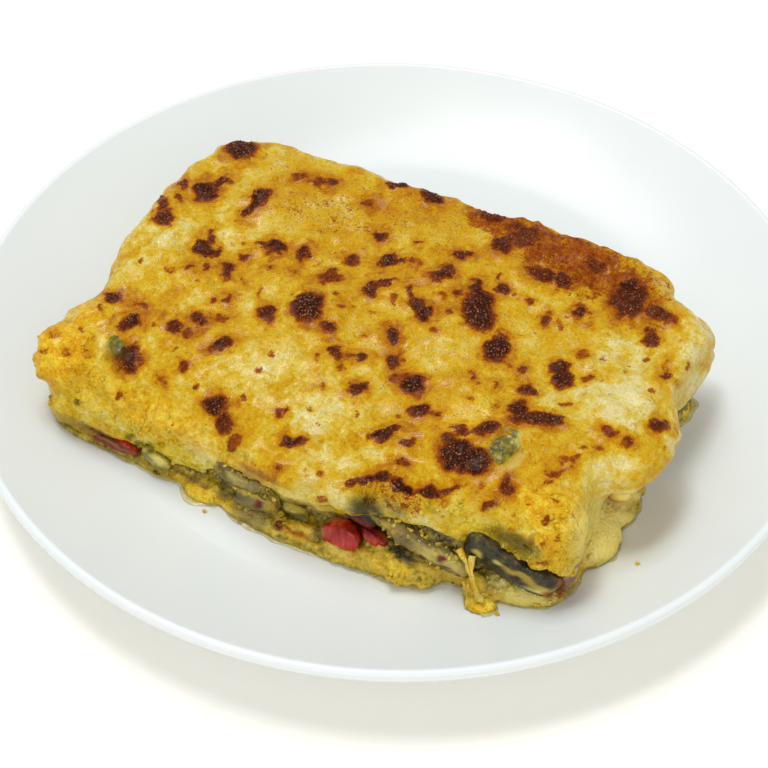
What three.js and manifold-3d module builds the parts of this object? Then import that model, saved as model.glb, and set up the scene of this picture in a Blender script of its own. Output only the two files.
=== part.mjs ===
// A slice of eggplant bake on a white dinner plate, in millimetres, +Z up.
// The origin is under the middle of the plate, on the surface it stands on.
// The slice's long cut side faces -Y and its short cut side faces +X.
import * as THREE from 'three';
import { mergeVertices } from 'three/addons/utils/BufferGeometryUtils.js';
import Module from 'manifold-3d';

const wasm = await Module();
wasm.setup();

const { clamp, smoothstep, lerp } = THREE.MathUtils;
const { exp, hypot, max, min, sin, cos, abs, sign, PI } = Math;

// ---------------------------------------------------------------- driving dimensions

const PLATE_RADIUS = 125;
const PLATE_HEIGHT = 22;
const PLATE_THICKNESS = 3.2;
const WELL_RADIUS = 86;
const WELL_TOP = 4.5;
const WALL_CURVE = 1.55; // how late the wall turns up: 1 would be a cone
const FOOT_RING = { inner: 66, outer: 70 };
const PLATE_SIDES = 68;
const WALL_STEPS = 4;

// The slice: centres of the round corners of its outline, anticlockwise from the front left.
const CORNER_RADIUS = 12;
const CORNER_CENTRES = [[-67, -60], [66, -57], [75, 15], [34, 28], [-66, 26]];
const SLICE_TOP = 38;
const SLICE_CENTRE = { x: 3, y: -20 };

// The corner at the front left was spooned out thin, and the front of the top sags over the cut.
const CORNER_DROP = { x: -84, y: -84, drop: 12, reachX: 44, reachY: 36 };
const FRONT_SAG = { y: -76, drop: 4, reach: 20 };

// Layers: the custard at the bottom, the vegetables over it, the cheese on top and down the sides.
const CUSTARD_TOP = 9;
const CUSTARD_OVERHANG = 1.2;
const CUSTARD_TUCKS = [{ x: 90, y: -1, reach: 17, depth: 5 }, { x: -82, y: -66, reach: 20, depth: 4 }];
const FILLING_INSET = 3.4;
const FILLING_TOP = 26;
const LEAST_CHEESE = 7;
const HEM = 10; // height of the cheese's lower edge where it hangs lowest
const LIP_DEPTH = 5.5; // how far in from the edge the cheese stops short

const GAP = 0.35; // left between neighbours that touch
const STATIONS = 58; // points in each ring round the slice
const CHEESE_CORE = 14; // how far in the rays that find the cheese's surface begin
const RAY_SLOPES = [-55, -36, -16, 6, 26, 44, 60, 76, 90];
const TOP_RINGS = [0.84, 0.65, 0.44, 0.22];
const FINE_CHUNK = 9; // chunks with a half size over this are meshed finer

// Where the cheese stops short and the vegetables show: place, reach along the side, and rise.
const WINDOWS = [
  { x: -10, y: -74, reach: 12, rise: 11 },
  { x: 16, y: -74, reach: 17, rise: 9.5 },
  { x: 42, y: -73, reach: 19, rise: 14 },
  { x: 66, y: -69, reach: 15, rise: 15 },
  { x: 86, y: -34, reach: 16, rise: 12 },
  { x: 86, y: 4, reach: 14, rise: 9 },
  { x: 44, y: 36, reach: 20, rise: 11 },
  { x: -24, y: 36, reach: 22, rise: 10 },
  { x: -78, y: -14, reach: 20, rise: 11 },
];

// Soft masses of cheese that bulge from the slice: centre, then half sizes.
const CHEESE_LUMPS = [
  { at: [79, -24, 30], size: [13, 18, 8] }, // the lobe that hangs over the right side
  { at: [82, 21, 25], size: [7, 9, 8] }, // the flap on the back right corner
  { at: [73, -59, 29], size: [7, 7, 8] }, // the crest on the front right corner
  { at: [75, -62, 20], size: [5.5, 5.5, 8] }, // the crest's foot
  { at: [-73, -53, 23.5], size: [10.5, 16, 9] }, // the lump on the front left corner
  { at: [8, -70, 25], size: [24, 5.5, 6] }, // the lip over the middle of the front
  { at: [50, 32, 34], size: [22, 6, 6] }, // the thick browned edge at the back
];

// Custard that ran out on to the plate.
const CUSTARD_LUMPS = [
  { at: [77.5, -41, 8], size: [8.5, 11, 6.5] }, // the shelf under the right lobe
  { at: [80, -26, 7], size: [6, 11, 4] },
  { at: [69, -66, 7.5], size: [12, 5.5, 5] }, // the pale fold under the front right corner
  { at: [60.5, -75, 6.8], size: [4.4, 4, 3.2] }, // the drip's bulb
  { at: [57, -72, 9.5], size: [3.4, 4, 4.6] }, // the drip
  { at: [8, -73, 6], size: [26, 5.5, 3.2] }, // the fringe in the middle of the front
  { at: [-24, -71.5, 5.8], size: [7, 4.6, 2.6] },
  { at: [36, -71, 8], size: [12, 6, 5] },
];

// The vegetables and the curds of egg that show at the cut sides and in the top.
// size holds half sizes, turn holds degrees about X, Y and Z, square is 2 for an egg shape
// and larger for a squarer piece.
const EGGPLANT_FLESH = { colour: '#82703a', roughness: 0.5 };
const EGGPLANT_SKIN = { colour: '#45412a', roughness: 0.35 };
const RED_PEPPER = { colour: '#8c2c22', roughness: 0.3 };
const GREEN_PEPPER = { colour: '#6f6a26', roughness: 0.4 };
const CURD = { colour: '#c79a2c', roughness: 0.5 };
const MUSHROOM = { colour: '#8a5a3c', roughness: 0.55 };

const PIECES = [
  { name: 'eggplant_skin_front_right', at: [65, -65.5, 19.5], size: [13.5, 6, 4.6], turn: [-14, 17, 5],
    square: 5, of: EGGPLANT_SKIN },
  { name: 'eggplant_slice_front_middle', at: [40, -66.5, 16.5], size: [15, 6.5, 3.6], turn: [-8, 20, 0],
    square: 4, of: EGGPLANT_FLESH },
  { name: 'eggplant_skin_front_middle', at: [23.5, -68.5, 19.6], size: [5.6, 4, 4], turn: [0, 38, 0],
    square: 3, of: EGGPLANT_SKIN },
  { name: 'red_pepper_front_middle', at: [19, -73, 10.8], size: [5.6, 4.6, 5.2], turn: [0, 0, 0],
    square: 3, of: RED_PEPPER },
  { name: 'red_pepper_strip_front_middle', at: [28.5, -71, 13.2], size: [4.4, 2.4, 2.2], turn: [0, 28, 0],
    square: 2.5, of: RED_PEPPER },
  { name: 'eggplant_slice_front_left', at: [-12.5, -69, 17], size: [8, 6, 3.6], turn: [-10, 14, 0],
    square: 4, of: EGGPLANT_FLESH },
  { name: 'eggplant_round_front_left', at: [-7, -71.5, 10], size: [7, 4.6, 5], turn: [-12, 10, 0],
    square: 2.4, of: EGGPLANT_FLESH },
  { name: 'red_pepper_bit_front_left', at: [1.8, -75, 6.9], size: [2.5, 2.1, 1.9], turn: [0, 0, 0],
    square: 2, of: RED_PEPPER },
  { name: 'green_pepper_front_left', at: [4.6, -72.6, 11.4], size: [4, 3, 1.6], turn: [0, 16, 0],
    square: 2.5, of: GREEN_PEPPER },
  { name: 'egg_curd_front_left', at: [8.6, -74, 8.2], size: [3.8, 3.2, 2], turn: [0, 8, 0],
    square: 2.2, of: CURD },
  { name: 'green_pepper_front_far_left', at: [-38.5, -71, 11.6], size: [4.8, 3.2, 2.6], turn: [0, 18, 0],
    square: 3, of: GREEN_PEPPER },
  { name: 'red_pepper_strip_front_far_left', at: [-54, -69, 8.6], size: [8.5, 3, 1.7], turn: [0, 0, -4],
    square: 3, of: RED_PEPPER },
  { name: 'mushroom_strip_front_right', at: [78, -61, 15], size: [2.6, 3.6, 7.6], turn: [10, 8, 0],
    square: 2.6, of: MUSHROOM },
  { name: 'eggplant_bit_top_left', at: [-59.5, -55, topHeight(-59.5, -55) - 1.2], size: [4.6, 3, 2.6], turn: [10, -10, -30],
    square: 3, of: GREEN_PEPPER },
  { name: 'eggplant_bit_top_right', at: [53, -47.5, topHeight(53, -47.5) - 1.4], size: [3.6, 6.8, 2.6], turn: [4, 0, -6],
    square: 3, of: EGGPLANT_SKIN },
  { name: 'eggplant_slice_right', at: [77.5, -4, 15], size: [5, 15, 3.8], turn: [9, 0, 6],
    square: 4, of: EGGPLANT_FLESH },
  { name: 'red_pepper_right', at: [80, -28, 16.2], size: [3.8, 5, 3.4], turn: [0, 0, 0],
    square: 3, of: RED_PEPPER },
  { name: 'eggplant_skin_back_right', at: [50, 32, 17.5], size: [14, 5, 4], turn: [8, -8, -8],
    square: 5, of: EGGPLANT_SKIN },
  { name: 'eggplant_slice_back_left', at: [-22, 30.5, 16], size: [15, 5, 3.8], turn: [10, 7, 0],
    square: 4, of: EGGPLANT_FLESH },
  { name: 'red_pepper_back', at: [14, 33, 12.5], size: [5.4, 3.8, 4], turn: [0, 20, 0],
    square: 3, of: RED_PEPPER },
  { name: 'green_pepper_back', at: [-50, 31.5, 13], size: [5, 3.4, 3], turn: [0, -15, 0],
    square: 3, of: GREEN_PEPPER },
  { name: 'eggplant_slice_left', at: [-74, -17, 16], size: [4.6, 13, 3.8], turn: [-8, 0, 0],
    square: 4, of: EGGPLANT_FLESH },
  { name: 'red_pepper_left', at: [-75, 6, 12.2], size: [3.6, 4.6, 3.4], turn: [0, 0, 0],
    square: 3, of: RED_PEPPER },
];

// ---------------------------------------------------------------- distances and heights

// Joins two distances as a solid's union or intersection, with a fillet of the given radius.
function roundMin(a, b, radius) {
  const u = max(radius - a, 0);
  const v = max(radius - b, 0);
  return max(radius, min(a, b)) - hypot(u, v);
}

function roundMax(a, b, radius) {
  return -roundMin(-a, -b, radius);
}

function ellipsoid(x, y, z, { at, size }) {
  const [u, v, w] = [(x - at[0]) / size[0], (y - at[1]) / size[1], (z - at[2]) / size[2]];
  const reach = hypot(u, v, w);
  const slope = hypot(u / size[0], v / size[1], w / size[2]);
  return slope > 1e-9 ? reach * (reach - 1) / slope : -min(...size);
}

// Signed distance in plan to the slice's outline, negative inside.
function outline(x, y) {
  let nearest = Infinity;
  let inside = true;
  CORNER_CENTRES.forEach(([ax, ay], i) => {
    const [bx, by] = CORNER_CENTRES[(i + 1) % CORNER_CENTRES.length];
    const [ex, ey] = [bx - ax, by - ay];
    const [wx, wy] = [x - ax, y - ay];
    const t = clamp((wx * ex + wy * ey) / (ex * ex + ey * ey), 0, 1);
    nearest = min(nearest, hypot(wx - ex * t, wy - ey * t));
    inside &&= ex * wy - ey * wx > 0;
  });
  return (inside ? -nearest : nearest) - CORNER_RADIUS;
}

// The uneven line of a cut made with a spatula.
function waver(x, y) {
  return 0.9 * sin(x / 8.5 + 0.8) * cos(y / 11) + 0.5 * sin(x / 4.3 - y / 5.1);
}

function plateSurface(radius) {
  const t = max((radius - WELL_RADIUS) / (PLATE_RADIUS - 2 - WELL_RADIUS), 0);
  return WELL_TOP + (PLATE_HEIGHT - WELL_TOP) * t ** WALL_CURVE;
}

function bell(offset, reach) {
  return exp(-((offset / reach) ** 2));
}

function topHeight(x, y) {
  const corner = bell(x - CORNER_DROP.x, CORNER_DROP.reachX) * bell(y - CORNER_DROP.y, CORNER_DROP.reachY);
  const front = bell(y - FRONT_SAG.y, FRONT_SAG.reach) * (1 - smoothstep(x, 35, 72));
  const swell = 1.0 * sin(x / 13 + 0.5) * cos(y / 15) + 0.6 * sin(x / 7.3 + y / 9.1);
  return SLICE_TOP - CORNER_DROP.drop * corner - FRONT_SAG.drop * front + swell;
}

// How far out past the slice's outline the custard reaches: less where it is tucked under.
function custardOut(x, y) {
  const tucks = CUSTARD_TUCKS.map((tuck) => tuck.depth * bell(hypot(x - tuck.x, y - tuck.y), tuck.reach));
  return CUSTARD_OVERHANG - max(...tucks);
}

function custardTop(x, y) {
  const level = CUSTARD_TOP + 0.8 * sin(x / 9) * cos(y / 8);
  return max(level, plateSurface(hypot(x, y)) + 3);
}

function fillingTop(x, y) {
  return min(FILLING_TOP + sin(x / 17 + 1), topHeight(x, y) - LEAST_CHEESE);
}

function hemHeight(x, y) {
  const rises = WINDOWS.map(({ x: wx, y: wy, reach, rise }) => rise * bell(hypot(x - wx, y - wy), reach));
  const low = max(HEM, plateSurface(hypot(x, y)) + 3);
  return min(low + max(...rises), fillingTop(x, y) - 1.5);
}

function cheese(x, y, z) {
  const edge = outline(x, y) + waver(x, y);
  const shoulder = lerp(13, 5, smoothstep(y, -66, -10));
  let distance = roundMax(edge, z - topHeight(x, y), shoulder);
  for (const lump of CHEESE_LUMPS) distance = roundMin(distance, ellipsoid(x, y, z, lump), 4);
  const undercut = min(hemHeight(x, y) - z, LIP_DEPTH + outline(x, y));
  return roundMax(distance, undercut, 1.5);
}

// ---------------------------------------------------------------- making solids

function solidFrom(geometry) {
  const bare = geometry.clone();
  for (const name of Object.keys(bare.attributes)) if (name !== 'position') bare.deleteAttribute(name);
  const welded = mergeVertices(bare, 1e-4);
  return new wasm.Manifold(new wasm.Mesh({
    numProp: 3,
    vertProperties: new Float32Array(welded.attributes.position.array),
    triVerts: new Uint32Array(welded.index.array),
  }));
}

function geometryFrom(points, faces) {
  const geometry = new THREE.BufferGeometry();
  geometry.setAttribute('position', new THREE.Float32BufferAttribute(points, 3));
  geometry.setIndex(faces);
  return geometry;
}

// The same surface with each vertex moved out along its normal.
function grown(geometry, distance) {
  const result = geometry.clone();
  result.computeVertexNormals();
  const { position, normal } = result.attributes;
  for (let i = 0; i < position.count; i++) {
    const x = position.getX(i) + normal.getX(i) * distance;
    const y = position.getY(i) + normal.getY(i) * distance;
    position.setXYZ(i, x, y, position.getZ(i) + normal.getZ(i) * distance);
  }
  return result;
}

// Distance from the slice's centre to where its outline, moved out, crosses the given direction.
function edgeReach(angle, out) {
  let [near, far] = [0, 2 * PLATE_RADIUS];
  for (let i = 0; i < 30; i++) {
    const middle = (near + far) / 2;
    const [x, y] = pointAt(angle, middle);
    if (outline(x, y) + waver(x, y) < out(x, y)) near = middle;
    else far = middle;
  }
  return near;
}

function pointAt(angle, reach) {
  return [SLICE_CENTRE.x + reach * cos(angle), SLICE_CENTRE.y + reach * sin(angle)];
}

// Directions from the slice's centre that lie evenly spaced along its outline.
function evenDirections(count) {
  const fine = Array.from({ length: 40 * count + 1 }, (_, i) => 2 * PI * i / (40 * count));
  const lengths = [0];
  for (let i = 1; i < fine.length; i++) {
    const [ax, ay] = pointAt(fine[i - 1], edgeReach(fine[i - 1], () => 0));
    const [bx, by] = pointAt(fine[i], edgeReach(fine[i], () => 0));
    lengths.push(lengths[i - 1] + hypot(bx - ax, by - ay));
  }
  const whole = lengths.at(-1);
  return Array.from({ length: count }, (_, s) => fine[lengths.findIndex((l) => l >= whole * s / count)]);
}

const DIRECTIONS = evenDirections(STATIONS);

// Joins rings of points, each going once round the slice, from the middle of the underside
// round the edge to the middle of the top.
function meshRings(rings) {
  const points = rings.flatMap((ring) => DIRECTIONS.flatMap((angle) => ring(angle)));
  const faces = [];
  for (let r = 0; r < rings.length - 1; r++) for (let s = 0; s < STATIONS; s++) {
    const [a, b] = [r * STATIONS + s, r * STATIONS + (s + 1) % STATIONS];
    faces.push(a, b, b + STATIONS, a, b + STATIONS, a + STATIONS);
  }
  const last = (rings.length - 1) * STATIONS;
  const bottom = rings.length * STATIONS;
  const { x, y } = SLICE_CENTRE;
  points.push(x, y, points[2], x, y, rings.at(-1)(0)[2]);
  for (let s = 0; s < STATIONS; s++) {
    const next = (s + 1) % STATIONS;
    faces.push(bottom, next, s, bottom + 1, last + s, last + next);
  }
  return geometryFrom(points, faces);
}

// A ring at a distance out from the outline, drawn in to a part of its size, at a given height.
function level({ out = () => 0, scale = 1, height }) {
  return (angle) => {
    const [x, y] = pointAt(angle, scale * edgeReach(angle, out));
    return [x, y, height(x, y)];
  };
}

// A ring where rays from inside the cheese, rising at a given slope, come out of it.
function wrapped(slope) {
  return (angle) => {
    const [x, y] = pointAt(angle, edgeReach(angle, () => -CHEESE_CORE));
    const z = (hemHeight(x, y) + topHeight(x, y)) / 2;
    const [flat, rise] = [cos(slope), sin(slope)];
    const along = (t) => [x + t * flat * cos(angle), y + t * flat * sin(angle), z + t * rise];
    let reach = 0;
    for (let i = 0; i < 60; i++) reach -= 0.7 * cheese(...along(reach));
    return along(reach);
  };
}

// A chunk: a ball stretched to size and squared off, then turned and set in its place.
function meshChunk({ at, size, turn = [0, 0, 0], square = 2 }, growth = 0) {
  const geometry = new THREE.IcosahedronGeometry(1, max(...size) > FINE_CHUNK ? 2 : 1);
  const { position } = geometry.attributes;
  for (let i = 0; i < position.count; i++) {
    const n = [position.getX(i), position.getY(i), position.getZ(i)];
    const length = n.reduce((sum, c) => sum + abs(c) ** square, 0) ** (1 / square);
    position.setXYZ(i, ...n.map((c, axis) => sign(c) * abs(c) / length * (size[axis] + growth)));
  }
  const angles = turn.map(THREE.MathUtils.degToRad);
  geometry.applyMatrix4(new THREE.Matrix4().makeRotationFromEuler(new THREE.Euler(...angles)));
  geometry.translate(...at);
  return geometry;
}

// Keeps the largest of the bodies that a cut left, and drops loose crumbs.
function meshOfLargestBody(solid) {
  const { vertProperties, triVerts, numProp } = solid.getMesh();
  const owner = Array.from({ length: vertProperties.length / numProp }, (_, i) => i);
  const root = (i) => {
    while (owner[i] !== i) i = owner[i] = owner[owner[i]];
    return i;
  };
  for (let t = 0; t < triVerts.length; t += 3) {
    owner[root(triVerts[t])] = root(triVerts[t + 1]);
    owner[root(triVerts[t + 1])] = root(triVerts[t + 2]);
  }
  const sizes = new Map();
  for (const v of triVerts) sizes.set(root(v), (sizes.get(root(v)) ?? 0) + 1);
  const [largest] = [...sizes].sort((a, b) => b[1] - a[1])[0];
  return geometryFrom(Array.from(vertProperties), Array.from(triVerts).filter((v) => root(v) === largest));
}

// ---------------------------------------------------------------- the object

const bake = new THREE.Group();

function addMesh(name, geometry, { colour, roughness }) {
  const shape = geometry.index ? geometry.toNonIndexed() : geometry;
  shape.computeVertexNormals();
  const material = new THREE.MeshStandardMaterial({ color: colour, roughness, metalness: 0 });
  const mesh = new THREE.Mesh(shape, material);
  mesh.name = name;
  bake.add(mesh);
}

// The plate: a coupe shape with a soft lip, standing on a low foot ring.
const wallRadii = Array.from({ length: WALL_STEPS + 1 }, (_, i) =>
  lerp(WELL_RADIUS, PLATE_RADIUS - 3, i / WALL_STEPS));
const underside = WELL_TOP - PLATE_THICKNESS;
const plateProfile = [
  [0, underside],
  [FOOT_RING.inner - 2, underside],
  [FOOT_RING.inner, 0],
  [FOOT_RING.outer, 0],
  [FOOT_RING.outer + 2, underside],
  ...wallRadii.map((r) => [r + 1.2, plateSurface(r) - PLATE_THICKNESS]),
  [PLATE_RADIUS, PLATE_HEIGHT - 1.6],
  [PLATE_RADIUS, PLATE_HEIGHT - 0.6],
  [PLATE_RADIUS - 0.9, PLATE_HEIGHT],
  ...wallRadii.map((r) => [r, plateSurface(r)]).reverse(),
  [0, WELL_TOP],
].map(([r, z]) => new THREE.Vector2(r, z));

function lathe(profile) {
  return new THREE.LatheGeometry(profile, PLATE_SIDES).rotateX(PI / 2);
}

addMesh('plate', lathe(plateProfile), { colour: '#eef1ee', roughness: 0.12 });

// Everything that the plate's upper surface, raised by the gap, keeps clear of food.
const clearOfPlate = solidFrom(lathe([
  [0, -20],
  [PLATE_RADIUS, -20],
  ...wallRadii.map((r) => [r, plateSurface(r) + GAP]).reverse(),
  [0, WELL_TOP + GAP],
].map(([r, z]) => new THREE.Vector2(r, z))));

const pieceSolids = [];
for (const piece of PIECES) {
  let solid = solidFrom(meshChunk(piece)).subtract(clearOfPlate);
  for (const neighbour of pieceSolids) solid = solid.subtract(neighbour.grown);
  pieceSolids.push({ piece, solid, grown: solidFrom(meshChunk(piece, GAP)) });
}

const custardMesh = meshRings([
  level({ scale: 0.5, height: () => 0 }),
  level({ out: (x, y) => custardOut(x, y) - 1, height: () => 2 }),
  level({ out: custardOut, height: () => WELL_TOP + 1.5 }),
  level({ out: (x, y) => custardOut(x, y) - 0.6, height: (x, y) => custardTop(x, y) - 1.5 }),
  level({ out: (x, y) => custardOut(x, y) - 3, height: custardTop }),
  level({ scale: 0.6, height: custardTop }),
]);
const fillingMesh = meshRings([
  level({ scale: 0.9, height: () => 2 }),
  level({ out: () => -FILLING_INSET, height: () => 3 }),
  level({ out: () => 0.6 - FILLING_INSET, height: (x, y) => lerp(CUSTARD_TOP, fillingTop(x, y), 0.35) }),
  level({ out: () => 0.4 - FILLING_INSET, height: (x, y) => lerp(CUSTARD_TOP, fillingTop(x, y), 0.7) }),
  level({ out: () => -0.8 - FILLING_INSET, height: fillingTop }),
  level({ scale: 0.6, height: fillingTop }),
]);
const cheeseMesh = meshRings([
  level({ scale: 0.5, height: () => CUSTARD_TOP - 2 }),
  level({ out: () => -LIP_DEPTH - 1, height: () => CUSTARD_TOP - 1 }),
  ...RAY_SLOPES.map((degrees) => wrapped(THREE.MathUtils.degToRad(degrees))),
  ...TOP_RINGS.map((scale) => level({ out: () => -CHEESE_CORE, scale, height: topHeight })),
]);

let custard = solidFrom(custardMesh);
let custardGrown = solidFrom(grown(custardMesh, GAP));
for (const lump of CUSTARD_LUMPS) {
  custard = custard.add(solidFrom(meshChunk(lump)));
  custardGrown = custardGrown.add(solidFrom(meshChunk(lump, GAP)));
}
custard = custard.subtract(clearOfPlate);
let filling = solidFrom(fillingMesh).subtract(custardGrown).subtract(clearOfPlate);
let cheeseLayer = solidFrom(cheeseMesh)
  .subtract(solidFrom(grown(fillingMesh, GAP)))
  .subtract(custardGrown)
  .subtract(clearOfPlate);
for (const { grown: clearance } of pieceSolids) {
  custard = custard.subtract(clearance);
  filling = filling.subtract(clearance);
  cheeseLayer = cheeseLayer.subtract(clearance);
}

addMesh('custard_base', meshOfLargestBody(custard), { colour: '#8f7418', roughness: 0.45 });
addMesh('vegetable_filling', meshOfLargestBody(filling), { colour: '#77632a', roughness: 0.5 });
addMesh('cheese_top', meshOfLargestBody(cheeseLayer), { colour: '#d3a63c', roughness: 0.4 });
for (const { piece, solid } of pieceSolids) addMesh(piece.name, meshOfLargestBody(solid), piece.of);

export default bake;
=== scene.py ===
import itertools
from collections import namedtuple

import bmesh
import bpy
import numpy as np
from mathutils import Euler, Matrix, Vector


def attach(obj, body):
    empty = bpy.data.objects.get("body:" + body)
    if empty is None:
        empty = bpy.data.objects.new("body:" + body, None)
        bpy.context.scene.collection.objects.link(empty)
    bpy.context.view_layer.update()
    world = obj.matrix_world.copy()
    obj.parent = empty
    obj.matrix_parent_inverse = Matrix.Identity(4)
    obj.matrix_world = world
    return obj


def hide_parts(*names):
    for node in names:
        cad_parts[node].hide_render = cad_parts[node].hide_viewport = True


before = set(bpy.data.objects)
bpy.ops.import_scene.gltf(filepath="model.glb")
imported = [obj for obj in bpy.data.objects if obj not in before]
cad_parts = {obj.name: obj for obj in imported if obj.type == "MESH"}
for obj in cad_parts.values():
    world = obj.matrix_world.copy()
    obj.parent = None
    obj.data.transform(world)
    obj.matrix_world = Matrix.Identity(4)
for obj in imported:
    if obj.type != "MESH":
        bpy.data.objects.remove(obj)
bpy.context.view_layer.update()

# A slice of eggplant bake on its dinner plate. Shapes are worked out in millimetres, +Z up, with the
# origin under the middle of the plate, and put in metres where a mesh is made.
MM = 0.001


# ---------------------------------------------------------------- the view
# A short telephoto lens looks down on the front right corner of the slice from about 45 cm away, tipped
# a degree, as in the photograph.

VIEW_AIM = np.array([9.34, -27.53, 22.0])
VIEW_DISTANCE = 447.13
VIEW_AZIMUTH, VIEW_ELEVATION, VIEW_ROLL = np.radians([25.0, 46.57, 1.18])
VIEW_ANGLE = np.radians(27.0)
PHOTO_SIDE = 768
SENSOR = 36
NEAREST_SEEN = 10

sin_a, cos_a = np.sin(VIEW_AZIMUTH), np.cos(VIEW_AZIMUTH)
sin_e, cos_e = np.sin(VIEW_ELEVATION), np.cos(VIEW_ELEVATION)
view_back = np.array([sin_a * cos_e, -cos_a * cos_e, sin_e])
level_right = np.array([cos_a, sin_a, 0.0])
level_up = np.cross(view_back, level_right)
view_right = np.cos(VIEW_ROLL) * level_right + np.sin(VIEW_ROLL) * level_up
view_up = np.cross(view_back, view_right)
view_from = VIEW_AIM + VIEW_DISTANCE * view_back

lens = bpy.data.cameras.new("view")
lens.sensor_width = SENSOR
lens.lens = SENSOR / 2 / np.tan(VIEW_ANGLE / 2)
lens.clip_start = NEAREST_SEEN * MM
camera = bpy.data.objects.new("view", lens)
stance = Matrix(np.column_stack([view_right, view_up, view_back]).tolist()).to_4x4()
stance.translation = view_from * MM
camera.matrix_world = stance
bpy.context.scene.collection.objects.link(camera)
bpy.context.scene.camera = camera
bpy.context.scene.view_settings.view_transform = "Standard"


# ---------------------------------------------------------------- the studio
# A white table under a wide soft lamp and a smaller one, with a weak warm lamp in front and white
# walls all round.

FLOOR_SIDE = 6000
TABLE_GLOW = 0.05
WALL_LIGHT = (0.55, 0.54, 0.505)
LAMPS = [
    # name, where it stands, side, watts, colour
    ("wide_lamp", (-560, 450, 1930), 900, 15, (0.91, 0.96, 1.0)),
    ("small_lamp", (-450, 0, 1900), 420, 7, (1.0, 1.0, 0.98)),
    ("front_lamp", (750, -1560, 1000), 1500, 11, (1.0, 0.98, 0.92)),
]


def srgb(code):
    """A colour from its six hexadecimal digits."""
    parts = np.array([int(code[i : i + 2], 16) for i in (0, 2, 4)]) / 255
    return (*np.where(parts > 0.04045, ((parts + 0.055) / 1.055) ** 2.4, parts / 12.92), 1.0)


class Value:
    """A number or a colour that varies over a surface. Arithmetic on a number adds Math nodes."""

    def __init__(self, finish, socket):
        self.finish, self.socket = finish, socket

    def __add__(self, other):
        return self.finish.maths("ADD", self, other)

    def __sub__(self, other):
        return self.finish.maths("SUBTRACT", self, other)

    def __rsub__(self, other):
        return self.finish.maths("SUBTRACT", other, self)

    def __mul__(self, other):
        return self.finish.maths("MULTIPLY", self, other)

    __radd__ = __add__
    __rmul__ = __mul__


class Finish:
    """A procedural material, with the shader's constant values given by the names of their sockets."""

    def __init__(self, name, constants):
        self.material = bpy.data.materials.new(name)
        self.material.use_nodes = True
        self.tree = self.material.node_tree
        self.shader = self.tree.nodes["Principled BSDF"]
        self.set(**constants)
        self.place = self.node("TexCoord", output="Object")

    def set(self, **values):
        """Sets or links sockets of the shader, named with _ for each space."""
        for name, value in values.items():
            self.put(self.shader.inputs[name.replace("_", " ")], value)

    def put(self, socket, value):
        if isinstance(value, Value):
            self.tree.links.new(value.socket, socket)
        else:
            socket.default_value = value

    def node(self, kind, settings=None, inputs=None, output=0):
        made = self.tree.nodes.new("ShaderNode" + kind)
        for name, value in (settings or {}).items():
            if name == "stops":
                self.set_stops(made.color_ramp, value)
            else:
                setattr(made, name, value)
        for name, value in (inputs or {}).items():
            self.put(made.inputs[name], value)
        return Value(self, made.outputs[output])

    def set_stops(self, ramp, stops):
        ramp.elements.remove(ramp.elements[1])
        ramp.elements[0].position, ramp.elements[0].color = stops[0]
        for position, colour in stops[1:]:
            ramp.elements.new(position).color = colour

    def maths(self, operation, *values):
        return self.node("Math", {"operation": operation}, dict(enumerate(values)))

    def step(self, value, low, high):
        """0 below low, 1 above high, and a smooth rise between."""
        return self.node("MapRange", {"interpolation_type": "SMOOTHSTEP"}, {0: value, 1: low, 2: high})

    def attribute(self, name):
        return self.node("Attribute", {"attribute_name": name}, output="Fac")

    def noise(self, size, detail=2.0, rough=0.5, place=None, warp=0.0):
        """Smooth noise from about 0.2 to 0.8 with lumps of the given size in millimetres."""
        inputs = {"Vector": place or self.place, "Scale": 1 / (size * MM), "Detail": detail}
        return self.node("TexNoise", inputs={**inputs, "Roughness": rough, "Distortion": warp})

    def ramp(self, value, *stops):
        """A colour that runs through (place, colour code) stops as the value rises."""
        made = [(place, srgb(code)) for place, code in stops]
        return self.node("ValToRGB", {"stops": made}, {"Fac": value})

    def mix(self, factor, a, b):
        """Colour a turned into colour b as the factor rises. A Mix node's colours are sockets 6 and 7."""
        a, b = (srgb(c) if isinstance(c, str) else c for c in (a, b))
        return self.node("Mix", {"data_type": "RGBA"}, {0: factor, 6: a, 7: b}, output=2)

    def bump(self, height, distance, strength=1.0, under=None):
        """Tilts the surface as if its height, from 0 to 1, were the given distance in millimetres."""
        inputs = {"Height": height, "Distance": distance * MM, "Strength": strength}
        if under:
            inputs["Normal"] = under
        return self.node("Bump", inputs=inputs)


def mesh_piece(name, points, faces, finish, **attributes):
    """A smooth object at the origin from points in millimetres. An attribute has one number a point."""
    mesh = bpy.data.meshes.new(name)
    mesh.from_pydata((np.asarray(points) * MM).tolist(), [], [list(face) for face in faces])
    for key, values in attributes.items():
        layer = mesh.attributes.new(key, "FLOAT", "POINT")
        layer.data.foreach_set("value", np.asarray(values, np.float32))
    mesh.shade_smooth()
    mesh.materials.append(finish.material)
    piece = bpy.data.objects.new(name, mesh)
    bpy.context.scene.collection.objects.link(piece)
    return piece


table_finish = Finish("white_table", {
    "Roughness": 0.6,
    "Specular_IOR_Level": 0.2,
    "Emission_Color": srgb("fff2dc"),
    "Emission_Strength": TABLE_GLOW,
})
table_tone = table_finish.noise(260, 2)
table_finish.set(Base_Color=table_finish.mix(table_tone, "fffdf8", "fffefb"))

half = FLOOR_SIDE / 2
corners = [(-half, -half, 0), (half, -half, 0), (half, half, 0), (-half, half, 0)]
table = mesh_piece("table_top", corners, [(0, 1, 2, 3)], table_finish)

for name, place, side, watts, colour in LAMPS:
    light = bpy.data.lights.new(name, "AREA")
    light.size = side * MM
    light.energy = watts
    light.color = colour
    lamp = bpy.data.objects.new(name, light)
    lamp.location = np.array(place) * MM
    lamp.rotation_euler = Vector(VIEW_AIM - place).to_track_quat("-Z", "Y").to_euler()
    bpy.context.scene.collection.objects.link(lamp)

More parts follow.
